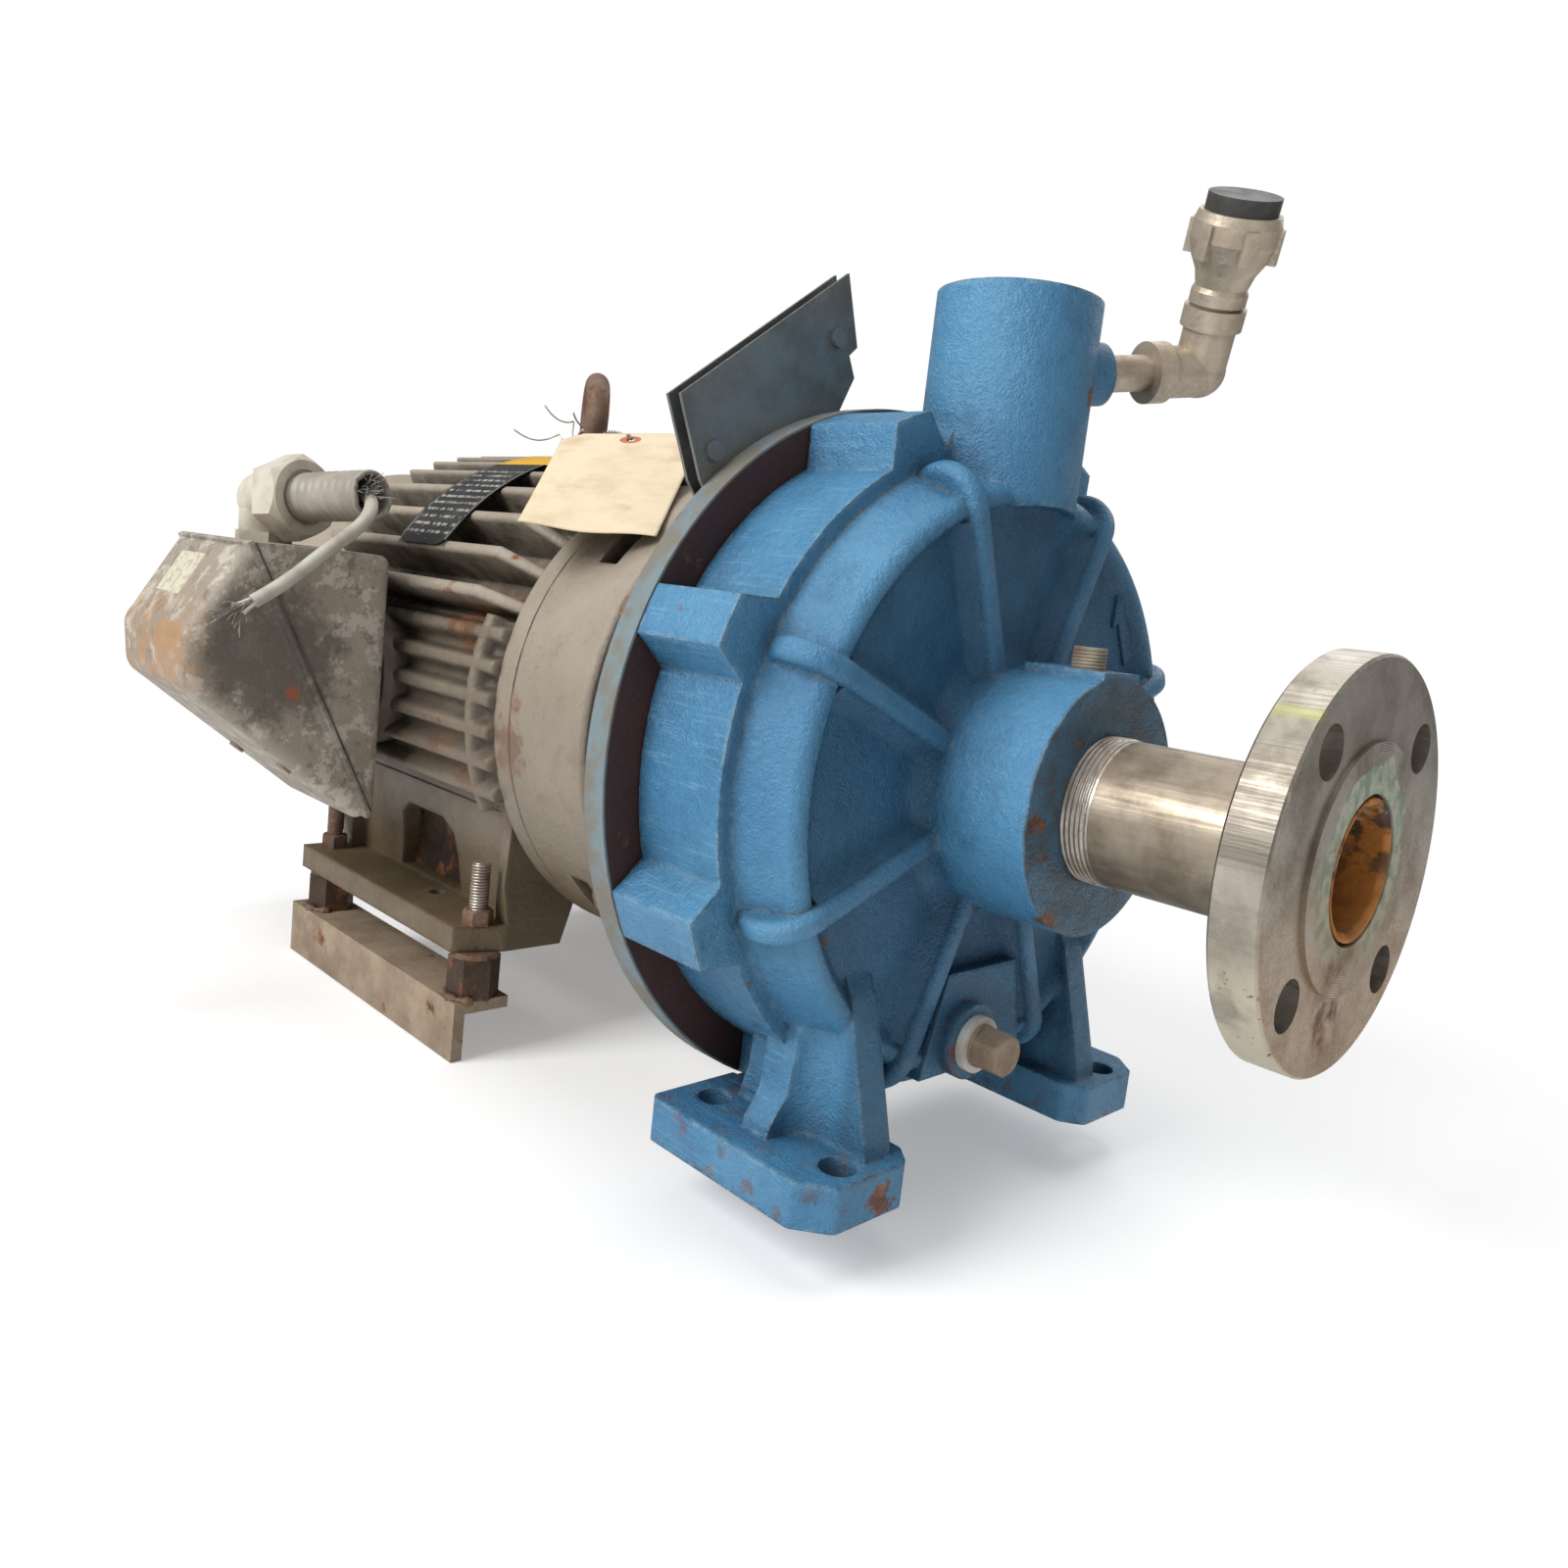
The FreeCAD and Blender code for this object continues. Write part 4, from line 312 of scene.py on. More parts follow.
def noise(scale, detail=4.0, roughness=0.55, distortion=0.0, point=None):
    """Cloudy value from 0 to 1 at a scale in cycles per metre."""
    made = add_node("ShaderNodeTexNoise", {
        "Vector": point if point is not None else object_point(), "Scale": scale,
        "Detail": detail, "Roughness": roughness, "Distortion": distortion})
    return made.outputs["Fac"]


def clouds(scale, detail, low, high, out_low=0.0, out_high=1.0, roughness=0.55):
    """Noise stretched between two levels."""
    return step(noise(scale, detail, roughness), low, high, out_low, out_high)


def start_group(name, inputs, outputs):
    """Empty node group on the bench; gives the group, its inputs and its outputs to work with."""
    group = bench["tree"] = bpy.data.node_groups.new(name, "ShaderNodeTree")
    for label, value in inputs.items():
        socket = group.interface.new_socket(label, in_out="INPUT", socket_type="NodeSocketFloat")
        socket.default_value = value
    for label in outputs:
        kind = "NodeSocketVector" if label == "Normal" else "NodeSocketFloat"
        group.interface.new_socket(label, in_out="OUTPUT", socket_type=kind)
    return group, group.nodes.new("NodeGroupInput").outputs, group.nodes.new("NodeGroupOutput").inputs


def use_group(group, **inputs):
    """A group placed in the tree on the bench, with its inputs set."""
    return add_node("ShaderNodeGroup", inputs, node_tree=group).outputs


# %% [markdown]
# ## Shared effects
# Old castings and worn steel share a few effects. Casting grain is a bumpy height from two noises.
# Patches are a noise cut at a level, for rust and bare spots. Rounded edges give a softened normal,
# and wear where it differs from the true one, which is only near edges. Cavity dirt and shade is
# where little light gets in: dirt and painted shade together. The shaft frame tells how far a point
# is from the shaft, and at which angle.

# %% Casting grain
grain_group, gin, gout = start_group("casting grain", {"Scale": 700.0}, ["Height"])
fine = noise(gin["Scale"], 3.0, 0.6)
lumps = noise(reckon("MULTIPLY", gin["Scale"], 0.16), 3.0)
pits = add_node("ShaderNodeTexVoronoi", {
    "Vector": object_point(), "Scale": reckon("MULTIPLY", gin["Scale"], 0.7)},
    feature="SMOOTH_F1").outputs["Distance"]
height = plus(times(fine, 0.5), times(lumps, 1.1))
height = plus(height, times(pits, 0.45))
link(height, gout["Height"])

# %% Patches
patch_group, pin, pout = start_group("patches", {"Scale": 40.0, "Amount": 0.3, "Softness": 0.04}, ["Mask"])
cloud = noise(pin["Scale"], 9.0, 0.62)
level = minus(0.72, times(pin["Amount"], 0.45))
low = minus(level, pin["Softness"])
high = plus(level, pin["Softness"])
link(step(cloud, low, high), pout["Mask"])

# %% Rounded edges and their wear
edge_group, ein, eout = start_group("rounded edges", {"Radius": 0.002, "Amount": 1.0, "Scale": 160.0},
                                    ["Normal", "Wear"])
rounded = add_node("ShaderNodeBevel", {"Radius": ein["Radius"]}, samples=4).outputs[0]
true_normal = add_node("ShaderNodeNewGeometry").outputs["Normal"]
alike = add_node("ShaderNodeVectorMath", {0: rounded, 1: true_normal},
                 operation="DOT_PRODUCT").outputs["Value"]
edge = times(minus(1.0, alike), 9.0)
broken = clouds(ein["Scale"], 6.0, 0.42, 0.62, roughness=0.65)
edge = reckon("MULTIPLY", times(edge, broken), ein["Amount"], clamp=True)
link(rounded, eout["Normal"])
link(edge, eout["Wear"])

# %% Cavity dirt and painted shade
dirt_and_shade_group, din, dout = start_group("cavity dirt and shade", {"Distance": 0.02, "Amount": 1.0}, ["Mask"])
# Painted shade: ambient occlusion darkens the colour in hollows, along with dirt.
open_sky = add_node("ShaderNodeAmbientOcclusion", {"Distance": din["Distance"]},
                    samples=4).outputs["AO"]
closed = minus(1.0, open_sky)
closed = times(closed, clouds(60.0, 5.0, 0.25, 0.7, 0.4))
link(reckon("MULTIPLY", closed, din["Amount"], clamp=True),
                     dout["Mask"])

# %% Shaft frame and spots
shaft_group, _, shaft_out = start_group("shaft frame", {}, ["Radius", "Angle", "Along"])
x, y, z = point_parts()
over_shaft = minus(z, shaft_height)
squares = plus(times(y, y),
                  times(over_shaft, over_shaft))
link(reckon("SQRT", squares), shaft_out["Radius"])
link(reckon("ARCTAN2", over_shaft, y), shaft_out["Angle"])
link(x, shaft_out["Along"])

spot_group, sin_, sout = start_group("spot", {"X": 0.0, "Y": 0.0, "Z": 0.0, "Radius": 0.02, "Ragged": 0.6}, ["Mask"])
centre = add_node("ShaderNodeCombineXYZ", {
    "X": sin_["X"], "Y": sin_["Y"], "Z": sin_["Z"]}).outputs[0]
apart = add_node("ShaderNodeVectorMath", {0: object_point(), 1: centre},
                 operation="DISTANCE").outputs["Value"]
share = reckon("DIVIDE", apart, sin_["Radius"])
frayed = times(minus(noise(90.0, 6.0, 0.65), 0.5),
                 sin_["Ragged"], 3.0)
link(step(plus(share, frayed), 0.55, 1.0, 1.0, 0.0),
                     sout["Mask"])
print("groups", [g.name for g in bpy.data.node_groups])


def spot(place, radius, ragged=0.6):
    """Ragged mask around a place on the part."""
    return use_group(spot_group, X=place[0], Y=place[1], Z=place[2], Radius=radius, Ragged=ragged)["Mask"]


# %% [markdown]
# ## Finishes
# Each finish starts as a named material with one Principled shader. The colour network then runs
# from the clean paint or metal to the dirt on top, in the order in which it came onto the real part.
# The dirt in hollows also carries painted shade.


# %% Start a finish
def start_finish(name, roughness=0.6, metallic=0.0):
    """New material with its tree on the bench, and its shader."""
    material = bpy.data.materials.new(name)
    material.use_nodes = True
    bench["tree"] = material.node_tree
    shader = material.node_tree.nodes["Principled BSDF"]
    shader.inputs["Roughness"].default_value = roughness
    shader.inputs["Metallic"].default_value = metallic
    return material, shader


def link_bump(shader, height, strength, distance, normal=None):
    """Height that tilts the shader's normal, over softened edges where a normal is given."""
    inputs = {"Height": height, "Strength": strength, "Distance": distance}
    if normal is not None:
        inputs["Normal"] = normal
    bump = add_node("ShaderNodeBump", inputs)
    link(bump.outputs[0], shader.inputs["Normal"])


rust_brown = (0.13, 0.05, 0.022)
rust_orange = (0.30, 0.125, 0.045)


def darker(colour, share):
    """The same colour with less light."""
    return tuple(c * share for c in colour)


def rust_colour(scale=120.0):
    """Rust that drifts from brown to orange."""
    return mix(clouds(scale, 6.0, 0.42, 0.68), rust_brown, rust_orange)


def painted_casting(name, colours, grain, bump, rust, dirt, wear, worn_to, roughness, radius, marks, dirt_and_shade_reach=0.02):
    """Rough casting under old paint: clouds of three tones, marks of its own, wear, dirt with painted shade in hollows,
    and rust.
    """
    material, shader = start_finish(name, roughness)
    middle, light, dark = colours
    colour = mix(clouds(14.0, 5.0, 0.3, 0.7), middle, light)
    colour = mix(clouds(45.0, 6.0, 0.5, 0.78, 0.0, 0.6, roughness=0.7), colour, dark)
    speckle = clouds(260.0, 4.0, 0.6, 0.72, 0.0, 0.5, roughness=0.7)
    colour = mix(speckle, colour, darker(dark, 0.8))
    edges = use_group(edge_group, Radius=radius, Amount=wear)
    colour = mix(edges["Wear"], colour, worn_to)
    # Dirt and painted shade in hollows: ambient occlusion darkens the colour by the dirt amount.
    dirt_and_shade = use_group(dirt_and_shade_group, Amount=dirt, Distance=dirt_and_shade_reach)["Mask"]
    colour = mix(dirt_and_shade, colour, darker(dark, 0.35))
    rusty = use_group(patch_group, Scale=55.0, Amount=rust, Softness=0.03)["Mask"]
    rusty = times(rusty, clouds(9.0, 3.0, 0.42, 0.6))
    colour = mix(rusty, colour, rust_colour())
    colour = marks(colour)
    link(colour, shader.inputs["Base Color"])
    rough = clouds(90.0, 5.0, 0.3, 0.7, roughness - 0.08, roughness + 0.14)
    link(most(rough, times(rusty, 0.85)), shader.inputs["Roughness"])
    height = use_group(grain_group, Scale=grain)["Height"]
    link_bump(shader, height, bump, 0.0012, edges["Normal"])
    return material


def worn_metal(name, base, dark, roughness, metallic, rust, bump=0.15, streak=None, marks=None):
    """Bare metal with stains, fine scratches or grain, dirt and painted shade in the corners and some rust."""
    material, shader = start_finish(name, roughness, metallic)
    cloud = clouds(38.0, 7.0, 0.35, 0.7, roughness=0.65)
    colour = mix(cloud, base, dark)
    # Dirt and painted shade in the corners, from ambient occlusion.
    dirt_and_shade = use_group(dirt_and_shade_group, Amount=0.6)["Mask"]
    colour = mix(dirt_and_shade, colour, darker(dark, 0.3))
    rusty = use_group(patch_group, Scale=70.0, Amount=rust)["Mask"]
    colour = mix(rusty, colour, rust_colour())
    covered = most(rusty, times(dirt_and_shade, 0.7))
    lines = noise(1.0, 3.0, 0.6, point=stretched(streak)) if streak else noise(500.0, 4.0)
    height = lines
    if marks:
        colour, extra, height = marks(colour, lines)
        covered = most(covered, extra)
    link(colour, shader.inputs["Base Color"])
    bare = minus(1.0, covered, clamp=True)
    link(times(bare, metallic), shader.inputs["Metallic"])
    rough = step(lines, 0.3, 0.7, roughness - 0.1, roughness + 0.16)
    rough = plus(rough, times(cloud, 0.12))
    link(most(rough, times(covered, 0.8)), shader.inputs["Roughness"])
    link_bump(shader, height, bump, 0.0006)
    return material


def plain_finish(name, base, dark, roughness, bump=0.1, scale=400.0, marks=None, metallic=0.0):
    """Moulded, coated or fibrous surface with a little clouding, and dirt and painted shade in hollows."""
    material, shader = start_finish(name, roughness, metallic)
    colour = mix(clouds(60.0, 6.0, 0.4, 0.75), base, dark)
    # Dirt and painted shade in hollows, from ambient occlusion.
    dirt_and_shade = use_group(dirt_and_shade_group, Amount=0.7)["Mask"]
    colour = mix(dirt_and_shade, colour, darker(dark, 0.3))
    if marks:
        colour = marks(shader, colour)
    link(colour, shader.inputs["Base Color"])
    rough = clouds(120.0, 5.0, 0.3, 0.7, roughness - 0.08, roughness + 0.1)
    link(rough, shader.inputs["Roughness"])
    link_bump(shader, noise(scale, 4.0), bump, 0.0005)
    return material


# %% [markdown]
# ## Marks of the blue casing
# Sand-cast iron with thick blue paint. The machined boss face has thin, greyer paint, rust has run
# from the drain plug and sits on the feet, and the drum's side was ground, which left fine lines.
# The front-facing panel and legs are darkened in colour as painted shade.

# %% Blue casting paint
casing_rust = (((0.033, -0.008, 0.047), 0.017, 1.2), ((0.0725, -0.050, 0.160), 0.006, 1.7),
               ((0.0725, -0.030, 0.120), 0.006, 1.7), ((0.048, -0.085, 0.008), 0.008, 1.6),
               ((0.060, 0.0, 0.222), 0.010, 1.2), ((0.020, -0.100, 0.105), 0.004, 1.7),
               ((0.030, 0.014, 0.334), 0.007, 1.7))


def rust_spots(spots, share, scale):
    """Layers of rust, one for each (centre, reach, raggedness)."""
    return [(times(spot(*values), share), rust_colour(scale)) for values in spots]


def brushed(detail, roughness, scale, low, high, out_low=0.0, out_high=1.0):
    """Noise drawn out along one direction, stretched between two levels."""
    return step(noise(1.0, detail, roughness, point=stretched(scale)), low, high, out_low, out_high)


def casing_marks(colour):
    """Painted shade on the front-facing panels and legs, grey boss face, ground lines on the drum, and rust in places.
    """
    radius, _, along = use_group(shaft_group)
    height = point_parts()["Z"]
    # Painted shade: the front-facing panel and legs are darkened in colour, where less light falls.
    shaded_panel = times(step(radius, 0.128, 0.118), step(along, 0.034, 0.022), clouds(30.0, 4.0, 0.3, 0.7, 0.6, 0.85))
    shaded_legs = times(between(height, 0.020, 0.085, 0.004), step(along, 0.020, 0.030), step(radius, 0.095, 0.105), 0.6)
    boss = times(step(along, 0.0705, 0.0722), step(radius, 0.055, 0.054))
    drum = times(step(radius, 0.142, 0.144), step(along, 0.002, 0.0, 0.0, 1.0))
    worn_foot = use_group(patch_group, Scale=85.0, Amount=0.30, Softness=0.07)["Mask"]
    return coats(colour, (shaded_panel, (0.020, 0.085, 0.165)), (shaded_legs, (0.024, 0.085, 0.15)),
                 (times(boss, clouds(70.0, 6.0, 0.35, 0.65, 0.35, 0.85)), (0.060, 0.085, 0.10)),
                 (times(boss, brushed(4.0, 0.6, (60.0, 60.0, 420.0), 0.62, 0.7)), rust_colour()),
                 (times(drum, brushed(3.0, 0.6, (35.0, 700.0, 700.0), 0.56, 0.66, 0.0, 0.4)), (0.2, 0.4, 0.56)),
                 *rust_spots(casing_rust, 1.0, 200.0),
                 (times(step(height, 0.035, 0.004), worn_foot, 0.6), rust_colour()))


# %% [markdown]
# ## Marks of the motor side
# The bracket's disc wears dark red-brown primer, and its turned rim shows grey metal with traces of
# blue and red. The motor is grey-taupe: a rusty line runs along the seam behind the bell, the side
# ribs hold rust between them, and the conduit box is scuffed down to pale and dark layers.

# %% Primer, motor paint and box paint
motor_rust = (((-0.181, -0.121, 0.150), 0.018, 1.3), ((-0.222, -0.126, 0.122), 0.014, 1.4),
              ((-0.245, -0.125, 0.140), 0.012, 1.5), ((-0.232, -0.112, 0.205), 0.024, 1.2),
              ((-0.225, -0.105, 0.108), 0.020, 1.3), ((-0.222, -0.118, 0.045), 0.030, 0.9),
              ((-0.400, -0.118, 0.045), 0.034, 0.9), ((-0.222, 0.118, 0.045), 0.030, 0.9))


def disc_marks(colour):
    """Grey rim with traces of blue and red paint."""
    metal = mix(clouds(70.0, 6.0, 0.4, 0.6), (0.19, 0.18, 0.15), (0.18, 0.24, 0.26))
    metal = mix(clouds(40.0, 6.0, 0.66, 0.7), metal, (0.2, 0.06, 0.05))
    return mix(step(use_group(shaft_group)["Radius"], 0.1600, 0.1607), colour, metal)


def motor_marks(colour):
    """Rusty seam, rust in the side pockets and on the feet, painted shade that darkens the lower part, and more dust
    lower down.
    """
    radius, _, along = use_group(shaft_group)
    height = point_parts()["Z"]
    seam = times(between(along, -0.1803, -0.1791, 0.0003), step(radius, 0.118, 0.122))
    low = times(step(height, 0.105, 0.062), clouds(30.0, 5.0, 0.3, 0.6, 0.6, 0.95))
    return coats(colour, (seam, mix(clouds(30.0, 5.0, 0.45, 0.55), (0.045, 0.032, 0.024), (0.3, 0.13, 0.05))),
                 # The step on height below is painted shade: the colour darkens towards the bottom, from z 0.22 m to
                 # 0.10 m.
                 *rust_spots(motor_rust, 0.7, 150.0), (step(height, 0.22, 0.10, 0.0, 0.7), (0.165, 0.13, 0.095)),
                 (low, (0.135, 0.095, 0.05)))


def box_marks(colour):
    """Dark old paint, pale worn metal, a rusty nose, a blank label and a red mark."""
    x, y, z = point_parts()
    front = times(step(x, -0.3000, -0.2850), spot((-0.2837, -0.198, 0.178), 0.042, 0.5), 0.9)
    pale = clouds(75.0, 9.0, 0.51, 0.58, 0.0, 0.8, roughness=0.72)
    label = times(between(x, -0.358, -0.324, 0.0002), between(z, 0.2030, 0.2240, 0.0002), step(y, -0.214, -0.216))
    return coats(colour, (front, (0.125, 0.11, 0.088)), (times(pale, minus(1.0, front)), (0.56, 0.51, 0.44)),
                 (clouds(110.0, 8.0, 0.54, 0.64, 0.0, 0.7, roughness=0.72), (0.15, 0.12, 0.09)),
                 (times(step(y, -0.226, -0.242), clouds(60.0, 6.0, 0.35, 0.6)), (0.40, 0.235, 0.12)),
                 (label, mix(clouds(300.0, 6.0, 0.5, 0.6), (0.62, 0.58, 0.45), (0.45, 0.41, 0.31))),
                 (spot((-0.2837, -0.187, 0.158), 0.0036, 1.8), (0.34, 0.11, 0.06)))


castings = {
    "blue_iron_paint": ("blue casting paint", ((0.058, 0.215, 0.40), (0.092, 0.29, 0.49), (0.028, 0.115, 0.225)),
                        1500.0, 0.75, 0.02, 1.2, 0.5, (0.28, 0.47, 0.60), 0.24, 0.004, casing_marks, 0.03),
    "bracket_iron": ("red-brown primer", ((0.055, 0.022, 0.018), (0.08, 0.03, 0.022), (0.028, 0.015, 0.013)),
                     600.0, 0.35, 0.12, 0.4, 0.2, (0.12, 0.09, 0.08), 0.62, 0.0012, disc_marks),
    "motor_paint": ("grey-taupe paint", ((0.33, 0.28, 0.22), (0.41, 0.35, 0.28), (0.19, 0.155, 0.11)),
                    650.0, 0.45, 0.08, 1.35, 0.35, (0.46, 0.40, 0.33), 0.46, 0.004, motor_marks, 0.03),
    # Dust and painted shade: the side ribs take a darker copy of the motor paint.
    "rib_paint": ("dusty rib paint", ((0.19, 0.155, 0.115), (0.26, 0.215, 0.165), (0.09, 0.07, 0.05)),
                  650.0, 0.45, 0.10, 1.5, 0.6, (0.36, 0.31, 0.25), 0.42, 0.004, motor_marks, 0.03),
    "box_paint": ("box paint", ((0.31, 0.26, 0.205), (0.38, 0.33, 0.265), (0.19, 0.155, 0.12)),
                  700.0, 0.35, 0.03, 0.9, 0.5, (0.60, 0.55, 0.48), 0.5, 0.006, box_marks)}
finish = {key: painted_casting(*values) for key, values in castings.items()}
print("paints", list(finish))

# %% [markdown]
# ## Marks of the steel parts
# The flange was turned, so fine rings run round its raised face. Torn gasket stays there, the bore
# is rusty, and a rust drip has run down from it. The pipe has long scratches.


# %% Flange and pipe
def flange_marks(colour, lines):
    """Rings on the raised face, torn gasket, rusty bore, a drip below it, old paint on the rim, and a dark band of
    painted reflection across the rim.
    """
    radius, angle, along = use_group(shaft_group)
    _, y, z = point_parts()
    face = times(step(along, 0.1743, 0.1747), step(radius, 0.0470, 0.0465))
    rings = reckon("SINE", times(radius, 2 * math.pi / 0.0009))
    wavering = plus(radius, times(minus(noise(75.0, 8.0, 0.65), 0.5), 0.022))
    torn = times(face, clouds(60.0, 7.0, 0.62, 0.64, 1.0, 0.0, roughness=0.6), between(wavering, 0.0200, 0.0385, 0.0004))
    bore = step(plus(radius, times(noise(250.0), 0.003)), 0.0295, 0.0270)
    path = plus(y, times(minus(noise(55.0), 0.5), 0.010))
    drip = times(between(path, -0.017, 0.008, 0.005), between(z, 0.096, 0.136, 0.008),
                 clouds(110.0, 6.0, 0.35, 0.65), 0.85)
    rim = step(radius, 0.0750, 0.0758)
    cream = times(rim, step(z, 0.150, 0.125), clouds(45.0, 5.0, 0.35, 0.5, 0.2, 0.8))
    colour = coats(colour, (torn, mix(clouds(160.0, 6.0, 0.4, 0.6), (0.25, 0.33, 0.24), (0.50, 0.52, 0.42))),
                   (bore, rust_colour(250.0)),
                   (times(step(z, 0.20, 0.11), step(along, 0.1738, 0.1744), 0.6), (0.44, 0.29, 0.165)),
                   (drip, rust_colour(250.0)), (cream, (0.62, 0.56, 0.42)),
                   (times(cream, clouds(260.0, 3.0, 0.66, 0.69)), rust_brown),
                   # Painted reflection: a dark band across the turned rim.
                   (times(rim, between(angle, 2.74, 3.06, 0.04), 0.75), (0.19, 0.165, 0.135)),
                   (times(rim, between(angle, 2.31, 2.38, 0.02), 0.4), (0.62, 0.62, 0.20)))
    covered = most(most(torn, cream), most(bore, drip))
    height = plus(plus(times(lines, 0.4), times(rings, face, 0.5)), times(torn, 1.6))
    return colour, covered, height


def pipe_marks(colour, lines):
    """Thick orange rust and green scale inside the pipe."""
    bore = step(use_group(shaft_group)["Radius"], 0.0285, 0.0275)
    lumps = noise(130.0, 7.0, 0.65)
    scale = mix(step(lumps, 0.42, 0.6), (0.42, 0.17, 0.035), (0.10, 0.045, 0.02))
    scale = mix(clouds(60.0, 5.0, 0.55, 0.62), scale, (0.24, 0.23, 0.14))
    return mix(bore, colour, scale), bore, plus(lines, times(bore, lumps, 6.0))


metals = {
    "flange_steel": ("turned flange steel", (0.50, 0.455, 0.39), (0.27, 0.235, 0.19), 0.36, 0.9, 0.05, 0.3,
                     (25.0, 900.0, 900.0), flange_marks),
    "pipe_steel": ("stained pipe steel", (0.42, 0.355, 0.275), (0.22, 0.175, 0.13), 0.42, 0.85, 0.03, 0.25,
                   (18.0, 420.0, 420.0), pipe_marks),
    "stainless_steel": ("cast stainless", (0.62, 0.53, 0.42), (0.42, 0.34, 0.255), 0.4, 0.6, 0.02, 0.35),
    "sheet_steel": ("galvanised sheet", (0.27, 0.28, 0.27), (0.17, 0.175, 0.165), 0.42, 0.75, 0.03),
    "plain_steel": ("dusty rail steel", (0.43, 0.335, 0.24), (0.28, 0.21, 0.145), 0.6, 0.2, 0.15, 0.35),
    "rusty_steel": ("rusty steel", (0.24, 0.155, 0.11), (0.12, 0.072, 0.048), 0.6, 0.3, 0.32, 0.5),
    "dark_steel": ("oily dark steel", (0.085, 0.052, 0.032), (0.05, 0.03, 0.018), 0.55, 0.3, 0.3, 0.5),
    "brown_steel": ("brown plug steel", (0.42, 0.32, 0.23), (0.27, 0.19, 0.13), 0.5, 0.2, 0.1, 0.4),
    "machined_steel": ("ground steel", (0.55, 0.54, 0.52), (0.4, 0.39, 0.37), 0.28, 1.0, 0.0, 0.05),
    "bright_thread": ("bright thread steel", (0.62, 0.58, 0.52), (0.3, 0.24, 0.18), 0.32, 0.85, 0.12, 0.2),
    "bronze": ("cast bronze", (0.35, 0.22, 0.09), (0.2, 0.13, 0.06), 0.45, 0.85, 0.0, 0.3),
    "lamination_steel": ("laminations", (0.12, 0.12, 0.13), (0.06, 0.06, 0.065), 0.5, 0.6, 0.05, 0.3,
                         (2000.0, 20.0, 20.0))}
finish.update({key: worn_metal(*values) for key, values in metals.items()})
print("metals", list(metals))

# %% [markdown]
# ## Plastics, rubber, card and plate
# The nameplate is black with pale rows that say nothing here, and its lower corners are rounded
# away. The card tag has a red ring round its hole and soft stains.

# %% Plate, card and scale
plate_rear, plate_front, plate_radius, plate_low_angle, corner = -0.323, -0.270, 0.1411, math.radians(147.0), 0.010
card_width, card_length, hole_down = 0.078, 0.128, 0.011


def distance(first, second):
    """Square root of the sum of two squares."""
    return reckon("SQRT", plus(times(first, first), times(second, second)))


def plate_marks(shader, colour):
    """Pale frame and rows of short blank dashes; the two lower corners are cut to a radius."""
    _, angle, along = use_group(shaft_group)
    across = minus(along, plate_rear)
    nearer = reckon("MINIMUM", across, minus(plate_front - plate_rear, across))
    up = times(minus(plate_low_angle, angle), plate_radius)
    rows = between(reckon("FRACT", times(up, 1 / 0.0058)), 0.28, 0.62, 0.04)
    dashes = brushed(2.0, 0.5, (420.0, 60.0, 60.0), 0.47, 0.49)
    inside = times(step(nearer, 0.0035, 0.0040), between(up, 0.006, 0.070, 0.0003))
    lines = times(between(nearer, 0.0018, 0.0024, 0.0002), step(up, 0.003, 0.0035))
    worn = clouds(180.0, 6.0, 0.36, 0.5, roughness=0.7)
    reach = distance(most(minus(corner, nearer), 0.0), most(minus(corner, up), 0.0))
    link(reckon("LESS_THAN", reach, corner), shader.inputs["Alpha"])
    return coats(colour, (times(most(times(rows, dashes, inside), lines), worn, 0.8), (0.50, 0.48, 0.44)),
                 (times(brushed(5.0, 0.7, (60.0, 300.0, 300.0), 0.64, 0.7), 0.6), (0.42, 0.4, 0.37)))


def card_marks(shader, colour):
    """Red ring round an open hole near the card's upper edge, with soft stains."""
    x, y, _ = point_parts(add_node("ShaderNodeUVMap", uv_map="flat").outputs[0])
    reach = distance(times(minus(x, 0.5), card_width), minus(times(y, card_length), hole_down))
    link(reckon("GREATER_THAN", reach, 0.0025), shader.inputs["Alpha"])
    return coats(colour, (clouds(30.0, 6.0, 0.52, 0.66, 0.0, 0.35), (0.52, 0.40, 0.25)),
                 (times(between(reach, 0.0026, 0.0060, 0.0002), 0.9), (0.50, 0.12, 0.06)))


def scale_marks(shader, colour):
    """Bright orange to nearly black, with some pale corrosion near the top."""
    lumps, height = noise(75.0, 7.0, 0.6), point_parts()["Z"]
    dark_share = times(step(lumps, 0.46, 0.58), step(height, 0.150, 0.172, 0.2, 1.0))
    pale = times(clouds(85.0, 6.0, 0.56, 0.62, roughness=0.65), step(height, 0.160, 0.178))
    return coats(colour, (dark_share, (0.08, 0.04, 0.02)), (pale, (0.40, 0.36, 0.23)))


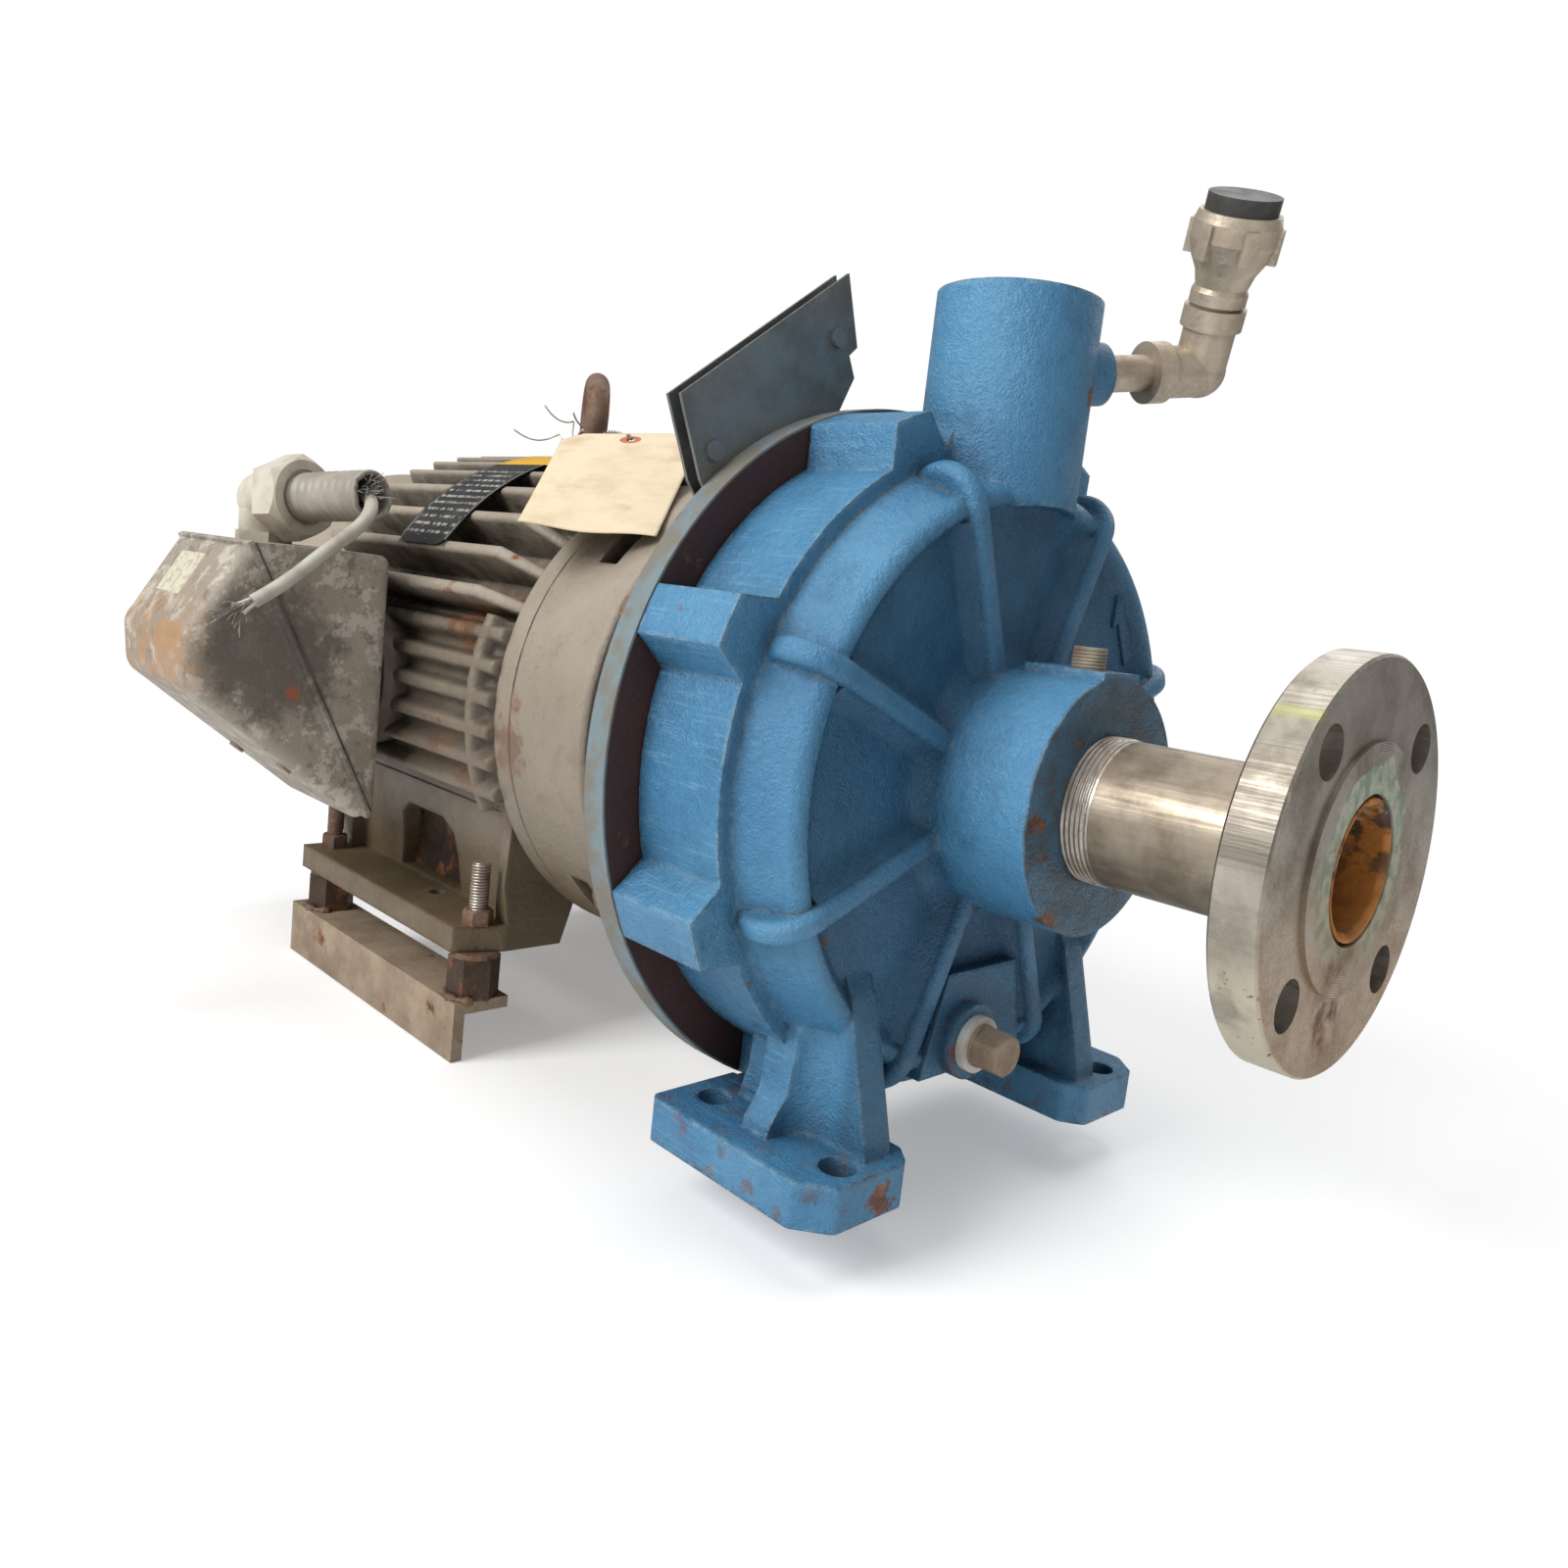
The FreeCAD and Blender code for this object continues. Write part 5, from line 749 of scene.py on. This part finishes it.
plains = {
    "plate_black": ("black plate", (0.016, 0.016, 0.017), (0.05, 0.048, 0.045), 0.38, 0.1, 400.0, plate_marks),
    "tag_card": ("manila card", (0.80, 0.665, 0.47), (0.70, 0.565, 0.38), 0.8, 0.15, 1500.0, card_marks),
    "winding_copper": ("varnished windings", (0.3, 0.1, 0.04), (0.18, 0.06, 0.03), 0.35, 0.6, 300.0),
    "gasket_sheet": ("gasket sheet", (0.16, 0.15, 0.12), (0.08, 0.075, 0.06), 0.85, 0.3),
    "thread_tape": ("thread tape", (0.82, 0.80, 0.75), (0.6, 0.54, 0.44), 0.55, 0.5, 900.0),
    "dark_fitting": ("dark fitting", (0.035, 0.034, 0.033), (0.09, 0.085, 0.075), 0.5, 0.3),
    "fan_plastic": ("fan plastic", (0.03, 0.03, 0.03), (0.05, 0.05, 0.045), 0.5),
    "seal_carbon": ("seal carbon", (0.03, 0.03, 0.033), (0.05, 0.05, 0.05), 0.25, 0.03),
    "slinger_rubber": ("slinger rubber", (0.025, 0.025, 0.025), (0.05, 0.05, 0.05), 0.7),
    "connector_grey": ("connector body", (0.68, 0.62, 0.52), (0.46, 0.40, 0.32), 0.42, 0.15),
    "conduit_grey": ("conduit jacket", (0.30, 0.27, 0.22), (0.42, 0.385, 0.33), 0.5, 0.2),
    "cable_jacket": ("cable jacket", (0.52, 0.49, 0.42), (0.34, 0.30, 0.24), 0.5, 0.15),
    "scale_rust": ("rust scale", (0.52, 0.20, 0.035), (0.36, 0.13, 0.03), 0.75, 1.0, 260.0, scale_marks),
    "white_lead": ("white lead", (0.62, 0.60, 0.54), (0.4, 0.37, 0.3), 0.45, 0.05),
    "dark_lead": ("dark lead", (0.05, 0.045, 0.04), (0.12, 0.1, 0.08), 0.5, 0.05),
    "strand_metal": ("tinned strands", (0.55, 0.52, 0.46), (0.2, 0.17, 0.13), 0.35, 0.05, 400.0, None, 0.7),
    "sticker_yellow": ("yellow sticker", (0.75, 0.42, 0.03), (0.6, 0.33, 0.05), 0.45, 0.05),
    "pale_plug": ("pale plug", (0.46, 0.40, 0.30), (0.2, 0.13, 0.08), 0.5, 0.3)}
finish.update({key: plain_finish(*values) for key, values in plains.items()})

# %% [markdown]
# ## Finishes on the solids
# Most solids take the finish named like their material slot, and a few have one of their own.

# %% Give each solid its finish
finish_of_node = {
    "suction_flange": "flange_steel", "suction_nipple": "pipe_steel", "gauge_plug": "pale_plug",
    "drain_plug": "brown_steel", "foot_spacers": "dark_steel", "bracket_bolts": "dark_steel",
    "conduit_base": "box_paint", "conduit_cover": "box_paint", "guard_plate_front": "sheet_steel",
    "guard_plate_rear": "sheet_steel", "guard_spacers": "sheet_steel", "guard_screws": "sheet_steel"}
for row in frame["record"]["subparts"]:
    mesh = frame["nodes"][row["node"]].data
    mesh.materials.clear()
    mesh.materials.append(finish[finish_of_node.get(row["node"], row["material_slot"])])
print("finishes", len(finish))

# %% [markdown]
# ## Loose cable
# A cut cable hangs out of the conduit's mouth and ends in bare strands. It is one smooth curve
# through a few control points, with a round section. A curve of order three cuts its corners,
# so the line bends as a limp cable does.

# %% Cable
cable_points = [(-0.3117, -0.1534, 0.2658), (-0.2901, -0.1510, 0.2629), (-0.2785, -0.1541, 0.2567),
                (-0.2710, -0.1626, 0.2469), (-0.2719, -0.1808, 0.2316), (-0.2728, -0.1985, 0.2145),
                (-0.2742, -0.2130, 0.2045)]
cable_diameter = 0.007
cable_line = bpy.data.curves.new("cable", "CURVE")
cable_line.dimensions = "3D"
spline = cable_line.splines.new("NURBS")
spline.points.add(len(cable_points) - 1)
spline.points.foreach_set("co", np.hstack([np.array(cable_points), np.ones((len(cable_points), 1))]).ravel())
spline.order_u = 3
spline.use_endpoint_u = True
spline.resolution_u = 12
cable_line.bevel_depth = cable_diameter / 2
cable_line.bevel_resolution = 5
cable_line.use_fill_caps = True
cable_line.materials.append(finish["cable_jacket"])
cable = add_object("cable", cable_line)
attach(cable, "pump")
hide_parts("loose_cable")
print("cable points", len(cable_points))

# %% [markdown]
# ## Strands
# At the cut end the jacket is stripped and about thirty thin strands fan out. Each strand starts in
# the cable's section and leaves along its last direction, so both are read from the curve. The
# spread grows with a power of the distance, which keeps the strands together at first.

# %% Strands and core at the cable's end
chance = np.random.default_rng(7)
controls = np.array([point.co[:3] for point in spline.points])
tip = controls[-1]
ahead = (controls[-1] - controls[-2]) / np.linalg.norm(controls[-1] - controls[-2])
side, other = frame_along(ahead)
strands = []
for k in range(32):
    t = column(0, 1, 12)
    turn_angle = chance.uniform(0, 2 * np.pi)
    start = tip - 0.001 * ahead + chance.uniform(0.0002, 0.0024) * ray(turn_angle, side, other)
    reach = chance.uniform(0.006, 0.024)
    fan = chance.normal(0, 0.0042, 2) * reach / 0.015
    curl = chance.normal(0, 0.0016, 2)
    path = (start + t * reach * ahead + t ** 1.6 * (fan[0] * side + fan[1] * other)
            + np.sin(t * np.pi * chance.uniform(0.8, 1.8)) * t * (curl[0] * side + curl[1] * other)
            - t ** 2 * np.array([0, 0, chance.uniform(0, 0.003)]))
    strands.append(tube_along(path, 0.00024, 5))
strand_piece = make_piece("cable_strands", strands, "strand_metal")
cores = []
for k, (aside, up) in enumerate(((0.0013, 0.0007), (-0.0012, 0.0010), (0.0, -0.0015))):
    t = column(0, 1, 6)
    start = tip - 0.002 * ahead + aside * side + up * other
    cores.append(tube_along(start + t * (0.007 + 0.002 * k) * ahead + t ** 2 * (aside * side + up * other), 0.0011, 10))
core_piece = make_piece("cable_cores", cores, "white_lead")

# %% [markdown]
# ## Cut conduit
# The conduit is a ribbed jacket that was sawn off. Its ribs are a shallow spiral, and the rim is
# ragged because the saw tore it. The surface goes along the outside, over the rim and back inside.

# %% Ribbed stub with a torn rim
azimuth, tilt = math.radians(18.0), math.radians(5.0)
stub_axis = np.array([math.cos(azimuth) * math.cos(tilt), math.sin(azimuth) * math.cos(tilt), math.sin(tilt)])
connector_centre = np.array([-0.3650, -0.1752, 0.2562])
stub_start, stub_end, rib_pitch, rib_depth = 0.005, 0.082, 0.0056, 0.0005
stub_outer, stub_bore = 0.0132, 0.0106
turns = once_round(96)
torn = sum(chance.normal(0, 0.00030) / k ** 0.4 * np.cos(k * turns + chance.uniform(0, 6.3)) for k in range(2, 20))
outside = column(stub_start, stub_end - 0.0006, 130)
ribbed = stub_outer - rib_depth * (0.5 + 0.5 * np.cos(2 * np.pi * outside / rib_pitch - turns)) ** 2
fade = np.clip((outside - (stub_end - 0.006)) / 0.006, 0, 1)
stations = np.concatenate([outside + fade * torn, [stub_end + torn * 1.1], [stub_end - 0.0004 + torn],
                           column(stub_end - 0.004, stub_start, 8) + 0 * turns])
radii = np.concatenate([ribbed, [stub_outer - 0.0008 + 0 * turns], [stub_bore + 0 * turns],
                        stub_bore + 0 * turns + np.zeros((8, 1))])
stub_grid = turned_surface(connector_centre, stub_axis, stations, radii)
stub = make_piece("ribbed_stub", [stub_grid], "conduit_grey", wrap_rows=True)
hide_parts("conduit_stub")

# %% [markdown]
# ## Wires in the mouth
# Between the cable and the conduit's wall, cut leads and a tangle of strands stick out. They start
# inside the conduit and curl in the mouth, and a few reach past the rim.

# %% Leads and tangled strands
side, other = frame_along(stub_axis)
mouth = connector_centre + stub_end * stub_axis
leads = {"white": [], "dark": []}
for k in range(4):
    t = column(0, 1, 14)
    turn_angle = 0.9 + 0.8 * k
    outward = ray(turn_angle, side, other)
    start = mouth - 0.030 * stub_axis + 0.0062 * outward
    reach = 0.024 + 0.003 * (k % 3)
    path = start + t * reach * stub_axis + t ** 2 * chance.normal(0, 0.0012, 3)
    leads["white" if k % 2 else "dark"].append(tube_along(path, 0.0011, 8))
make_piece("white_leads", leads["white"], "white_lead")
make_piece("dark_leads", leads["dark"], "dark_lead")
tangle = []
for k in range(40):
    t = column(0, 1, 14)
    turn_angle = chance.normal(-0.5, 0.8)
    outward = ray(turn_angle, side, other)
    start = mouth - 0.004 * stub_axis + chance.uniform(0.0005, 0.0085) * outward
    reach = chance.uniform(0.004, 0.012)
    sweep = chance.normal(0, 0.0036, 3)
    swing = chance.normal(0, 0.0022, 3)
    path = start + t * reach * stub_axis + t ** 1.5 * sweep + np.sin(t * np.pi * 1.5) * t * swing
    tangle.append(tube_along(path, 0.00022, 5))
make_piece("mouth_strands", tangle, "strand_metal")

# %% [markdown]
# ## Screw threads
# The CAD solids are plain where a thread should be. A thread is a spiral ridge: on the unrolled
# surface the height is a wave whose phase moves one turn per pitch. The pipe's thread also tapers.

# %% Threads on the pipe, the studs and the plugs
shaft_line = (0.0, 0.0, shaft_height)
pipe_radius, pipe_pitch = 0.0302, 0.0022
s = column(0.0722, 0.0842, 74)
turns = once_round(128)
crest = pipe_radius + 0.00055 * (0.5 + 0.5 * np.cos(2 * np.pi * s / pipe_pitch - turns)) * np.clip((0.0842 - s) / 0.003, 0, 1)
stations = np.concatenate([s[:1], s, s[-1:]])
radii = np.concatenate([0 * turns[None] + pipe_radius - 0.0003, crest, 0 * turns[None] + pipe_radius - 0.0003])
pipe_grid = turned_surface(shaft_line, (1, 0, 0), stations + 0 * turns, radii, 128)
make_piece("pipe_thread", [pipe_grid], "bright_thread", wrap_rows=True)

stud_places = [(-0.2224, -0.10795, 0.07865), (-0.2224, 0.10795, 0.07865),
               (-0.4002, -0.10795, 0.09365), (-0.4002, 0.10795, 0.09365)]
nut_top = 0.05395
stud_threads = [thread_surface((x, y, 0.0), (0, 0, 1), nut_top - 0.001, top + 0.0002, 0.00505, 0.0016, 0.00045, count=32)
                for x, y, top in stud_places]
make_piece("front_stud_threads", stud_threads[:2], "bright_thread")
make_piece("rear_stud_threads", stud_threads[2:], "rusty_steel")
gauge = thread_surface((0.0563, 0.0, 0.0), (0, 0, 1), 0.2215, 0.2290, 0.00715, 0.0014, 0.0004, count=40)
make_piece("gauge_plug_thread", [gauge], "pale_plug")

# %% [markdown]
# ## Card tag
# A planar card would look stiff, so the tag is a sheet between four corners that don't lie in one
# plane: point = mix of the corners by (u, v), and a slight curl is added. The clipped upper corners
# narrow the first rows. Its flat coordinates are kept for the ring round its hole.

# %% Curled tag
corners = np.array([[[-0.2624, -0.0534, 0.3110], [-0.2078, 0.0012, 0.3196]],
                    [[-0.1764, -0.1310, 0.2560], [-0.1230, -0.0905, 0.2560]]])
clip = 0.011
v = column(0, 1, 65)
cut = np.clip(clip - v * card_length, 0, None) / card_width
u = cut + np.linspace(0, 1, 41)[None] * (1 - 2 * cut)
v = v + 0 * u
u3, v3 = u[..., None], v[..., None]
tag_grid = ((1 - v3) * ((1 - u3) * corners[0, 0] + u3 * corners[0, 1])
            + v3 * ((1 - u3) * corners[1, 0] + u3 * corners[1, 1]))
outward = np.cross(corners[1, 0] - corners[0, 0], corners[0, 1] - corners[0, 0])
outward /= np.linalg.norm(outward)
outward = outward if outward[2] > 0 else -outward
curl = 0.0016 * np.sin(np.pi * v) * np.sin(np.pi * u) + 0.0010 * v ** 3 * np.cos(2.2 * np.pi * u)
tag_grid = tag_grid + curl[..., None] * outward
tag = make_piece("curled_tag", [tag_grid], "tag_card", wrap_columns=False, flip=True)
flat = tag.data.uv_layers.new(name="flat")
loops = np.empty(len(tag.data.loops), int)
tag.data.loops.foreach_get("vertex_index", loops)
flat.data.foreach_set("uv", np.stack([u.ravel()[loops], v.ravel()[loops]], 1).ravel())
thicken(tag, "card thickness", 0.0004)
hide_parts("paper_tag")

# %% [markdown]
# ## Tie wires
# Two thin wires are twisted together between the eyebolt and the tag's hole, and their ends stand
# off. A twisted pair is a centre line plus a small circle whose phase runs along the line.

# %% Twisted wires on the eyebolt
eye_centre = np.array([-0.3127, 0.0, shaft_height + 0.166])
eye_side = np.array([math.cos(math.radians(150.0)), math.sin(math.radians(150.0)), 0.0])
low_angle = math.radians(215.0)
ring_point = eye_centre + 0.019 * (-math.cos(low_angle) * -eye_side * -1 + math.sin(low_angle) * np.array([0, 0, 1]))
radial = (ring_point - eye_centre) / 0.019
eye_axis = np.cross(eye_side, [0, 0, 1.0])
a = column(0, 2 * np.pi * 2.2, 60)
slip = column(-0.0012, 0.0012, 60) * np.cross(radial, eye_axis)
loop_on_eye = ring_point + 0.0076 * (np.cos(a) * radial + np.sin(a) * eye_axis) + slip
hole = (corners[0, 0] + corners[0, 1]) / 2 + (corners[1, 0] - corners[0, 0]) / card_length * hole_down
knot = ring_point + 0.0085 * radial
t = column(0, 1, 60)
middle = (1 - t) * knot + t * (hole + 0.001 * outward) + 0.006 * np.sin(np.pi * t) * outward
along = (hole - knot) / np.linalg.norm(hole - knot)
side, other = frame_along(along)
wires = [tube_along(loop_on_eye, 0.0005, 6)]
for phase in (0.0, np.pi):
    swirl = 0.0007 * (np.cos(16 * np.pi * t + phase) * side + np.sin(16 * np.pi * t + phase) * other)
    wires.append(tube_along(middle + swirl, 0.0005, 6))
a = column(0, 2 * np.pi * 1.05, 30)
wires.append(tube_along(hole + 0.0032 * (np.cos(a) - 1) * along + 0.0032 * np.sin(a) * outward + 0.0003 * a * side, 0.0005, 6))
for lean in ((-0.026, -0.014, 0.022), (0.010, -0.016, 0.016), (-0.034, -0.030, 0.004), (0.016, -0.012, -0.002)):
    wires.append(tube_along(knot + t * np.array(lean) + 0.004 * np.sin(2.4 * np.pi * t) * side
                            + 0.003 * np.sin(3.1 * np.pi * t) * other, 0.00055, 6))
make_piece("tie_wires", wires, "bright_thread")

# %% [markdown]
# ## Cast skin between the side ribs
# On the real frame the side ribs are low, soft and grown together with a raised floor. The skin
# follows radius = floor + rise * max(ribs, cross rib), where each rib is a flat-topped bump
# exp(-(distance / half width)^4). Its borders dive into the frame's shell.

# %% Side skins
rib_angles = np.radians(163.3 + 7.4 * np.arange(6))
skin_floor, skin_crest, skin_root = 0.1215, 0.1299, 0.1130
x = np.linspace(-0.1925, -0.4060, 240)
angle = np.radians(np.linspace(158.4, 206.4, 260))
grid_x, grid_angle = np.meshgrid(x, angle, indexing="ij")
near_rib = np.abs(grid_angle[..., None] - rib_angles).min(axis=2) * skin_crest
ribs = np.exp(-(near_rib / 0.0050) ** 4)
cross = np.exp(-((grid_x + 0.212) / 0.0052) ** 4)
rough = 0.00025 * np.sin(grid_x * 310 + 2 * np.sin(grid_angle * 21)) * np.sin(grid_angle * 47 + 1.3)
radius = skin_floor + (skin_crest - skin_floor) * np.maximum(ribs, cross) + rough * (1 - ribs)
border = np.minimum(np.minimum(grid_x - x[-1], x[0] - grid_x), np.minimum(grid_angle - angle[0], angle[-1] - grid_angle) * 0.12)
radius = skin_root + (radius - skin_root) * np.clip(border / 0.002, 0, 1) ** 0.5
skin = np.stack([grid_x, radius * np.cos(grid_angle), shaft_height + radius * np.sin(grid_angle)], 2)
# The skins wear the darker rib paint, which is dust and painted shade together.
make_piece("side_skin_right", [skin], "rib_paint", wrap_columns=False)
make_piece("side_skin_left", [skin * np.array([1, -1, 1])], "rib_paint", wrap_columns=False, flip=True)

# %% [markdown]
# ## Webs behind the feet's arches
# Behind each arch the casting has a thin web, so that one looks into a shallow dark pocket. The web
# wears the dark oily steel finish as painted shade in that pocket. It is a plate that bulges a little:
# y = edge + bulge * cos(u) * cos(v), closed at the back.

# %% Pocket webs
u, v = np.meshgrid(np.linspace(-1, 1, 24), np.linspace(-1, 1, 16), indexing="ij")
bulge = 0.002 * np.cos(u * np.pi / 2) * np.cos(v * np.pi / 2)
for label, hand in (("right", -1), ("left", 1)):
    web_front = np.stack([-0.3113 + 0.0375 * u, hand * (0.0795 - bulge), 0.0668 + 0.0220 * v], 2)
    # Painted shade: the dark steel finish makes the pocket read as shadow.
    web = make_piece("arch_web_" + label, [web_front], "dark_steel", wrap_columns=False, flip=hand < 0)
    thicken(web, "web thickness", 0.002, -1.0)

# %% [markdown]
# ## Rotation arrow
# Pumps carry a cast arrow for the sense of rotation. It is one raised outline on the panel, turned
# about the shaft so that it follows the rotation, with its edges rounded by a bevel.

# %% Cast arrow
arrow_along, arrow_across = np.array([-0.478, 0.878]), np.array([0.878, 0.478])
outline = np.array([(-0.019, -0.0045), (0.004, -0.0045), (0.004, -0.0100), (0.021, 0.0), (0.004, 0.0100),
                    (0.004, 0.0045), (-0.019, 0.0045)])
flat_points = np.array([0.0869, 0.2397]) + outline[:, :1] * arrow_along + outline[:, 1:] * arrow_across
count = len(outline)
levels = np.stack([np.column_stack([np.full(count, x_level), flat_points]) for x_level in (0.0178, 0.0206)])
sides = [(k, count + k, count + (k + 1) % count, (k + 1) % count) for k in range(count)]
ends = [tuple(range(count)), tuple(range(2 * count - 1, count - 1, -1))]
arrow = make_piece("rotation_arrow", [levels], "blue_iron_paint", faces=ends + sides)
arrow.data.shade_flat()
soft = arrow.modifiers.new("cast edges", "BEVEL")
soft.width = 0.0008
soft.segments = 3

# %% [markdown]
# ## Rust scale in the bore
# Wet iron has built up scale inside the suction pipe. The scale is a ring whose inner radius wanders
# with the angle and the depth: a sum of a few waves, lower where the water stood.

# %% Rust scale
s = column(0.1480, 0.1761, 60)
turns = once_round(160)
waves = sum(chance.uniform(0.25, 0.55) / k ** 0.6 * np.sin(k * turns + chance.uniform(0, 6.3) + s * chance.uniform(-220, 220))
            for k in range(2, 15))
swell = 0.0030 + 0.0014 * waves
ends = np.clip((0.1765 - s) / 0.0020, 0, 1) ** 0.5
inner = 0.0261 - np.clip(swell, 0.0006, 0.0066) * ends
stations = np.concatenate([s + 0 * turns, s[::-1] + 0 * turns])
radii = np.concatenate([inner, 0.02615 + 0 * turns + 0 * s])
scale_grid = turned_surface(shaft_line, (1, 0, 0), stations, radii, 160)
make_piece("bore_scale", [scale_grid], "scale_rust", wrap_rows=True, flip=True)

# %% [markdown]
# ## Sticker and weld
# A bare yellow sticker lies on the fins above the nameplate. The stud nuts are tacked to the rail
# with small rough weld beads, which are lumpy half rings.

# %% Yellow sticker and weld beads
x = np.linspace(-0.322, -0.263, 12)
angle = np.radians(np.linspace(104.5, 114.6, 16))
grid_x, grid_angle = np.meshgrid(x, angle, indexing="ij")
sticker_grid = np.stack([grid_x, 0.14075 * np.cos(grid_angle), shaft_height + 0.14075 * np.sin(grid_angle)], 2)
sticker = make_piece("yellow_sticker", [sticker_grid], "sticker_yellow", wrap_columns=False)
thicken(sticker, "sticker thickness", 0.0003)
rail_top = 0.00635
beads = []
for x, y, top in stud_places:
    outer_side = math.copysign(1.0, y)
    a = column(-1.1, 1.1, 40)
    ring = np.concatenate([0.0142 * np.sin(a), 0.0142 * np.cos(a) * outer_side, 0 * a], 1)
    beads.append(tube_along(np.array([x, y, rail_top + 0.0006]) + ring,
                            0.0021 + 0.0005 * np.sin(9 * a[:, 0]) + 0.0002 * np.sin(23 * a[:, 0]), 10))
make_piece("weld_beads", beads, "rusty_steel")

# %% [markdown]
# ## Floor and light
# The pump stands before a plain pale ground. Large soft lamps from above and from the camera's
# side give broad highlights, as in a bright hall, and the world fills the shadows. The floor fades
# into the white world with distance, so that no horizon shows, and it keeps the pump's shadow.

# %% Floor
floor_z = cad_box[0].z - 0.0005
span = 6.0
floor_mesh = bpy.data.meshes.new("floor")
floor_mesh.from_pydata([(-span, -span, floor_z), (span, -span, floor_z), (span, span, floor_z),
                        (-span, span, floor_z)], [], [(0, 1, 2, 3)])
floor = add_object("floor", floor_mesh)
floor_finish, floor_shader = start_finish("pale floor", 1.0)
floor_shader.inputs["Base Color"].default_value = (0.86, 0.86, 0.86, 1.0)
floor_shader.inputs["Specular IOR Level"].default_value = 0.0
floor_rays = add_node("ShaderNodeLightPath").outputs
floor_shader.inputs["Emission Color"].default_value = (1.0, 1.0, 1.0, 1.0)
link(times(floor_rays["Is Camera Ray"], 0.30), floor_shader.inputs["Emission Strength"])
floor_distance = add_node("ShaderNodeVectorMath", {0: object_point(), 1: (-0.1, 0.0, floor_z)},
                          operation="DISTANCE").outputs["Value"]
near = step(floor_distance, 0.55, 1.3, 1.0, 0.0)
not_camera = minus(1.0, floor_rays["Is Camera Ray"])
link(most(near, not_camera), floor_shader.inputs["Alpha"])
floor_mesh.materials.append(floor_finish)


# %% Lamps and world
def soft_lamp(name, place, target, size, power):
    """Square area lamp that points at a target."""
    data = bpy.data.lights.new(name, "AREA")
    data.size = size
    data.energy = power
    lamp = add_object(name, data)
    lamp.location = place
    lamp.rotation_euler = (Vector(target) - Vector(place)).to_track_quat("-Z", "Y").to_euler()
    return lamp


soft_lamp("key lamp", (-0.42, -1.75, 1.35), (-0.1, 0, 0.15), 1.1, 38.0)
soft_lamp("top lamp", (-0.1, 0.1, 2.2), (-0.1, 0, 0.15), 1.4, 15.0)
soft_lamp("side lamp", (1.9, -0.5, 0.9), (0.0, 0, 0.15), 0.9, 3.0)
soft_lamp("back lamp", (-0.3, 1.6, 1.5), (-0.1, 0, 0.15), 1.4, 10.0)
world = bpy.data.worlds.new("hall")
bpy.context.scene.world = world
world.use_nodes = True
bench["tree"] = world.node_tree
background = world.node_tree.nodes["Background"]
background.inputs["Color"].default_value = (1.0, 1.0, 1.0, 1.0)
rays = add_node("ShaderNodeLightPath").outputs
link(most(rays["Is Camera Ray"], 0.24), background.inputs["Strength"])
bpy.context.scene.view_settings.view_transform = "Standard"
print("floor at", round(floor_z, 4))
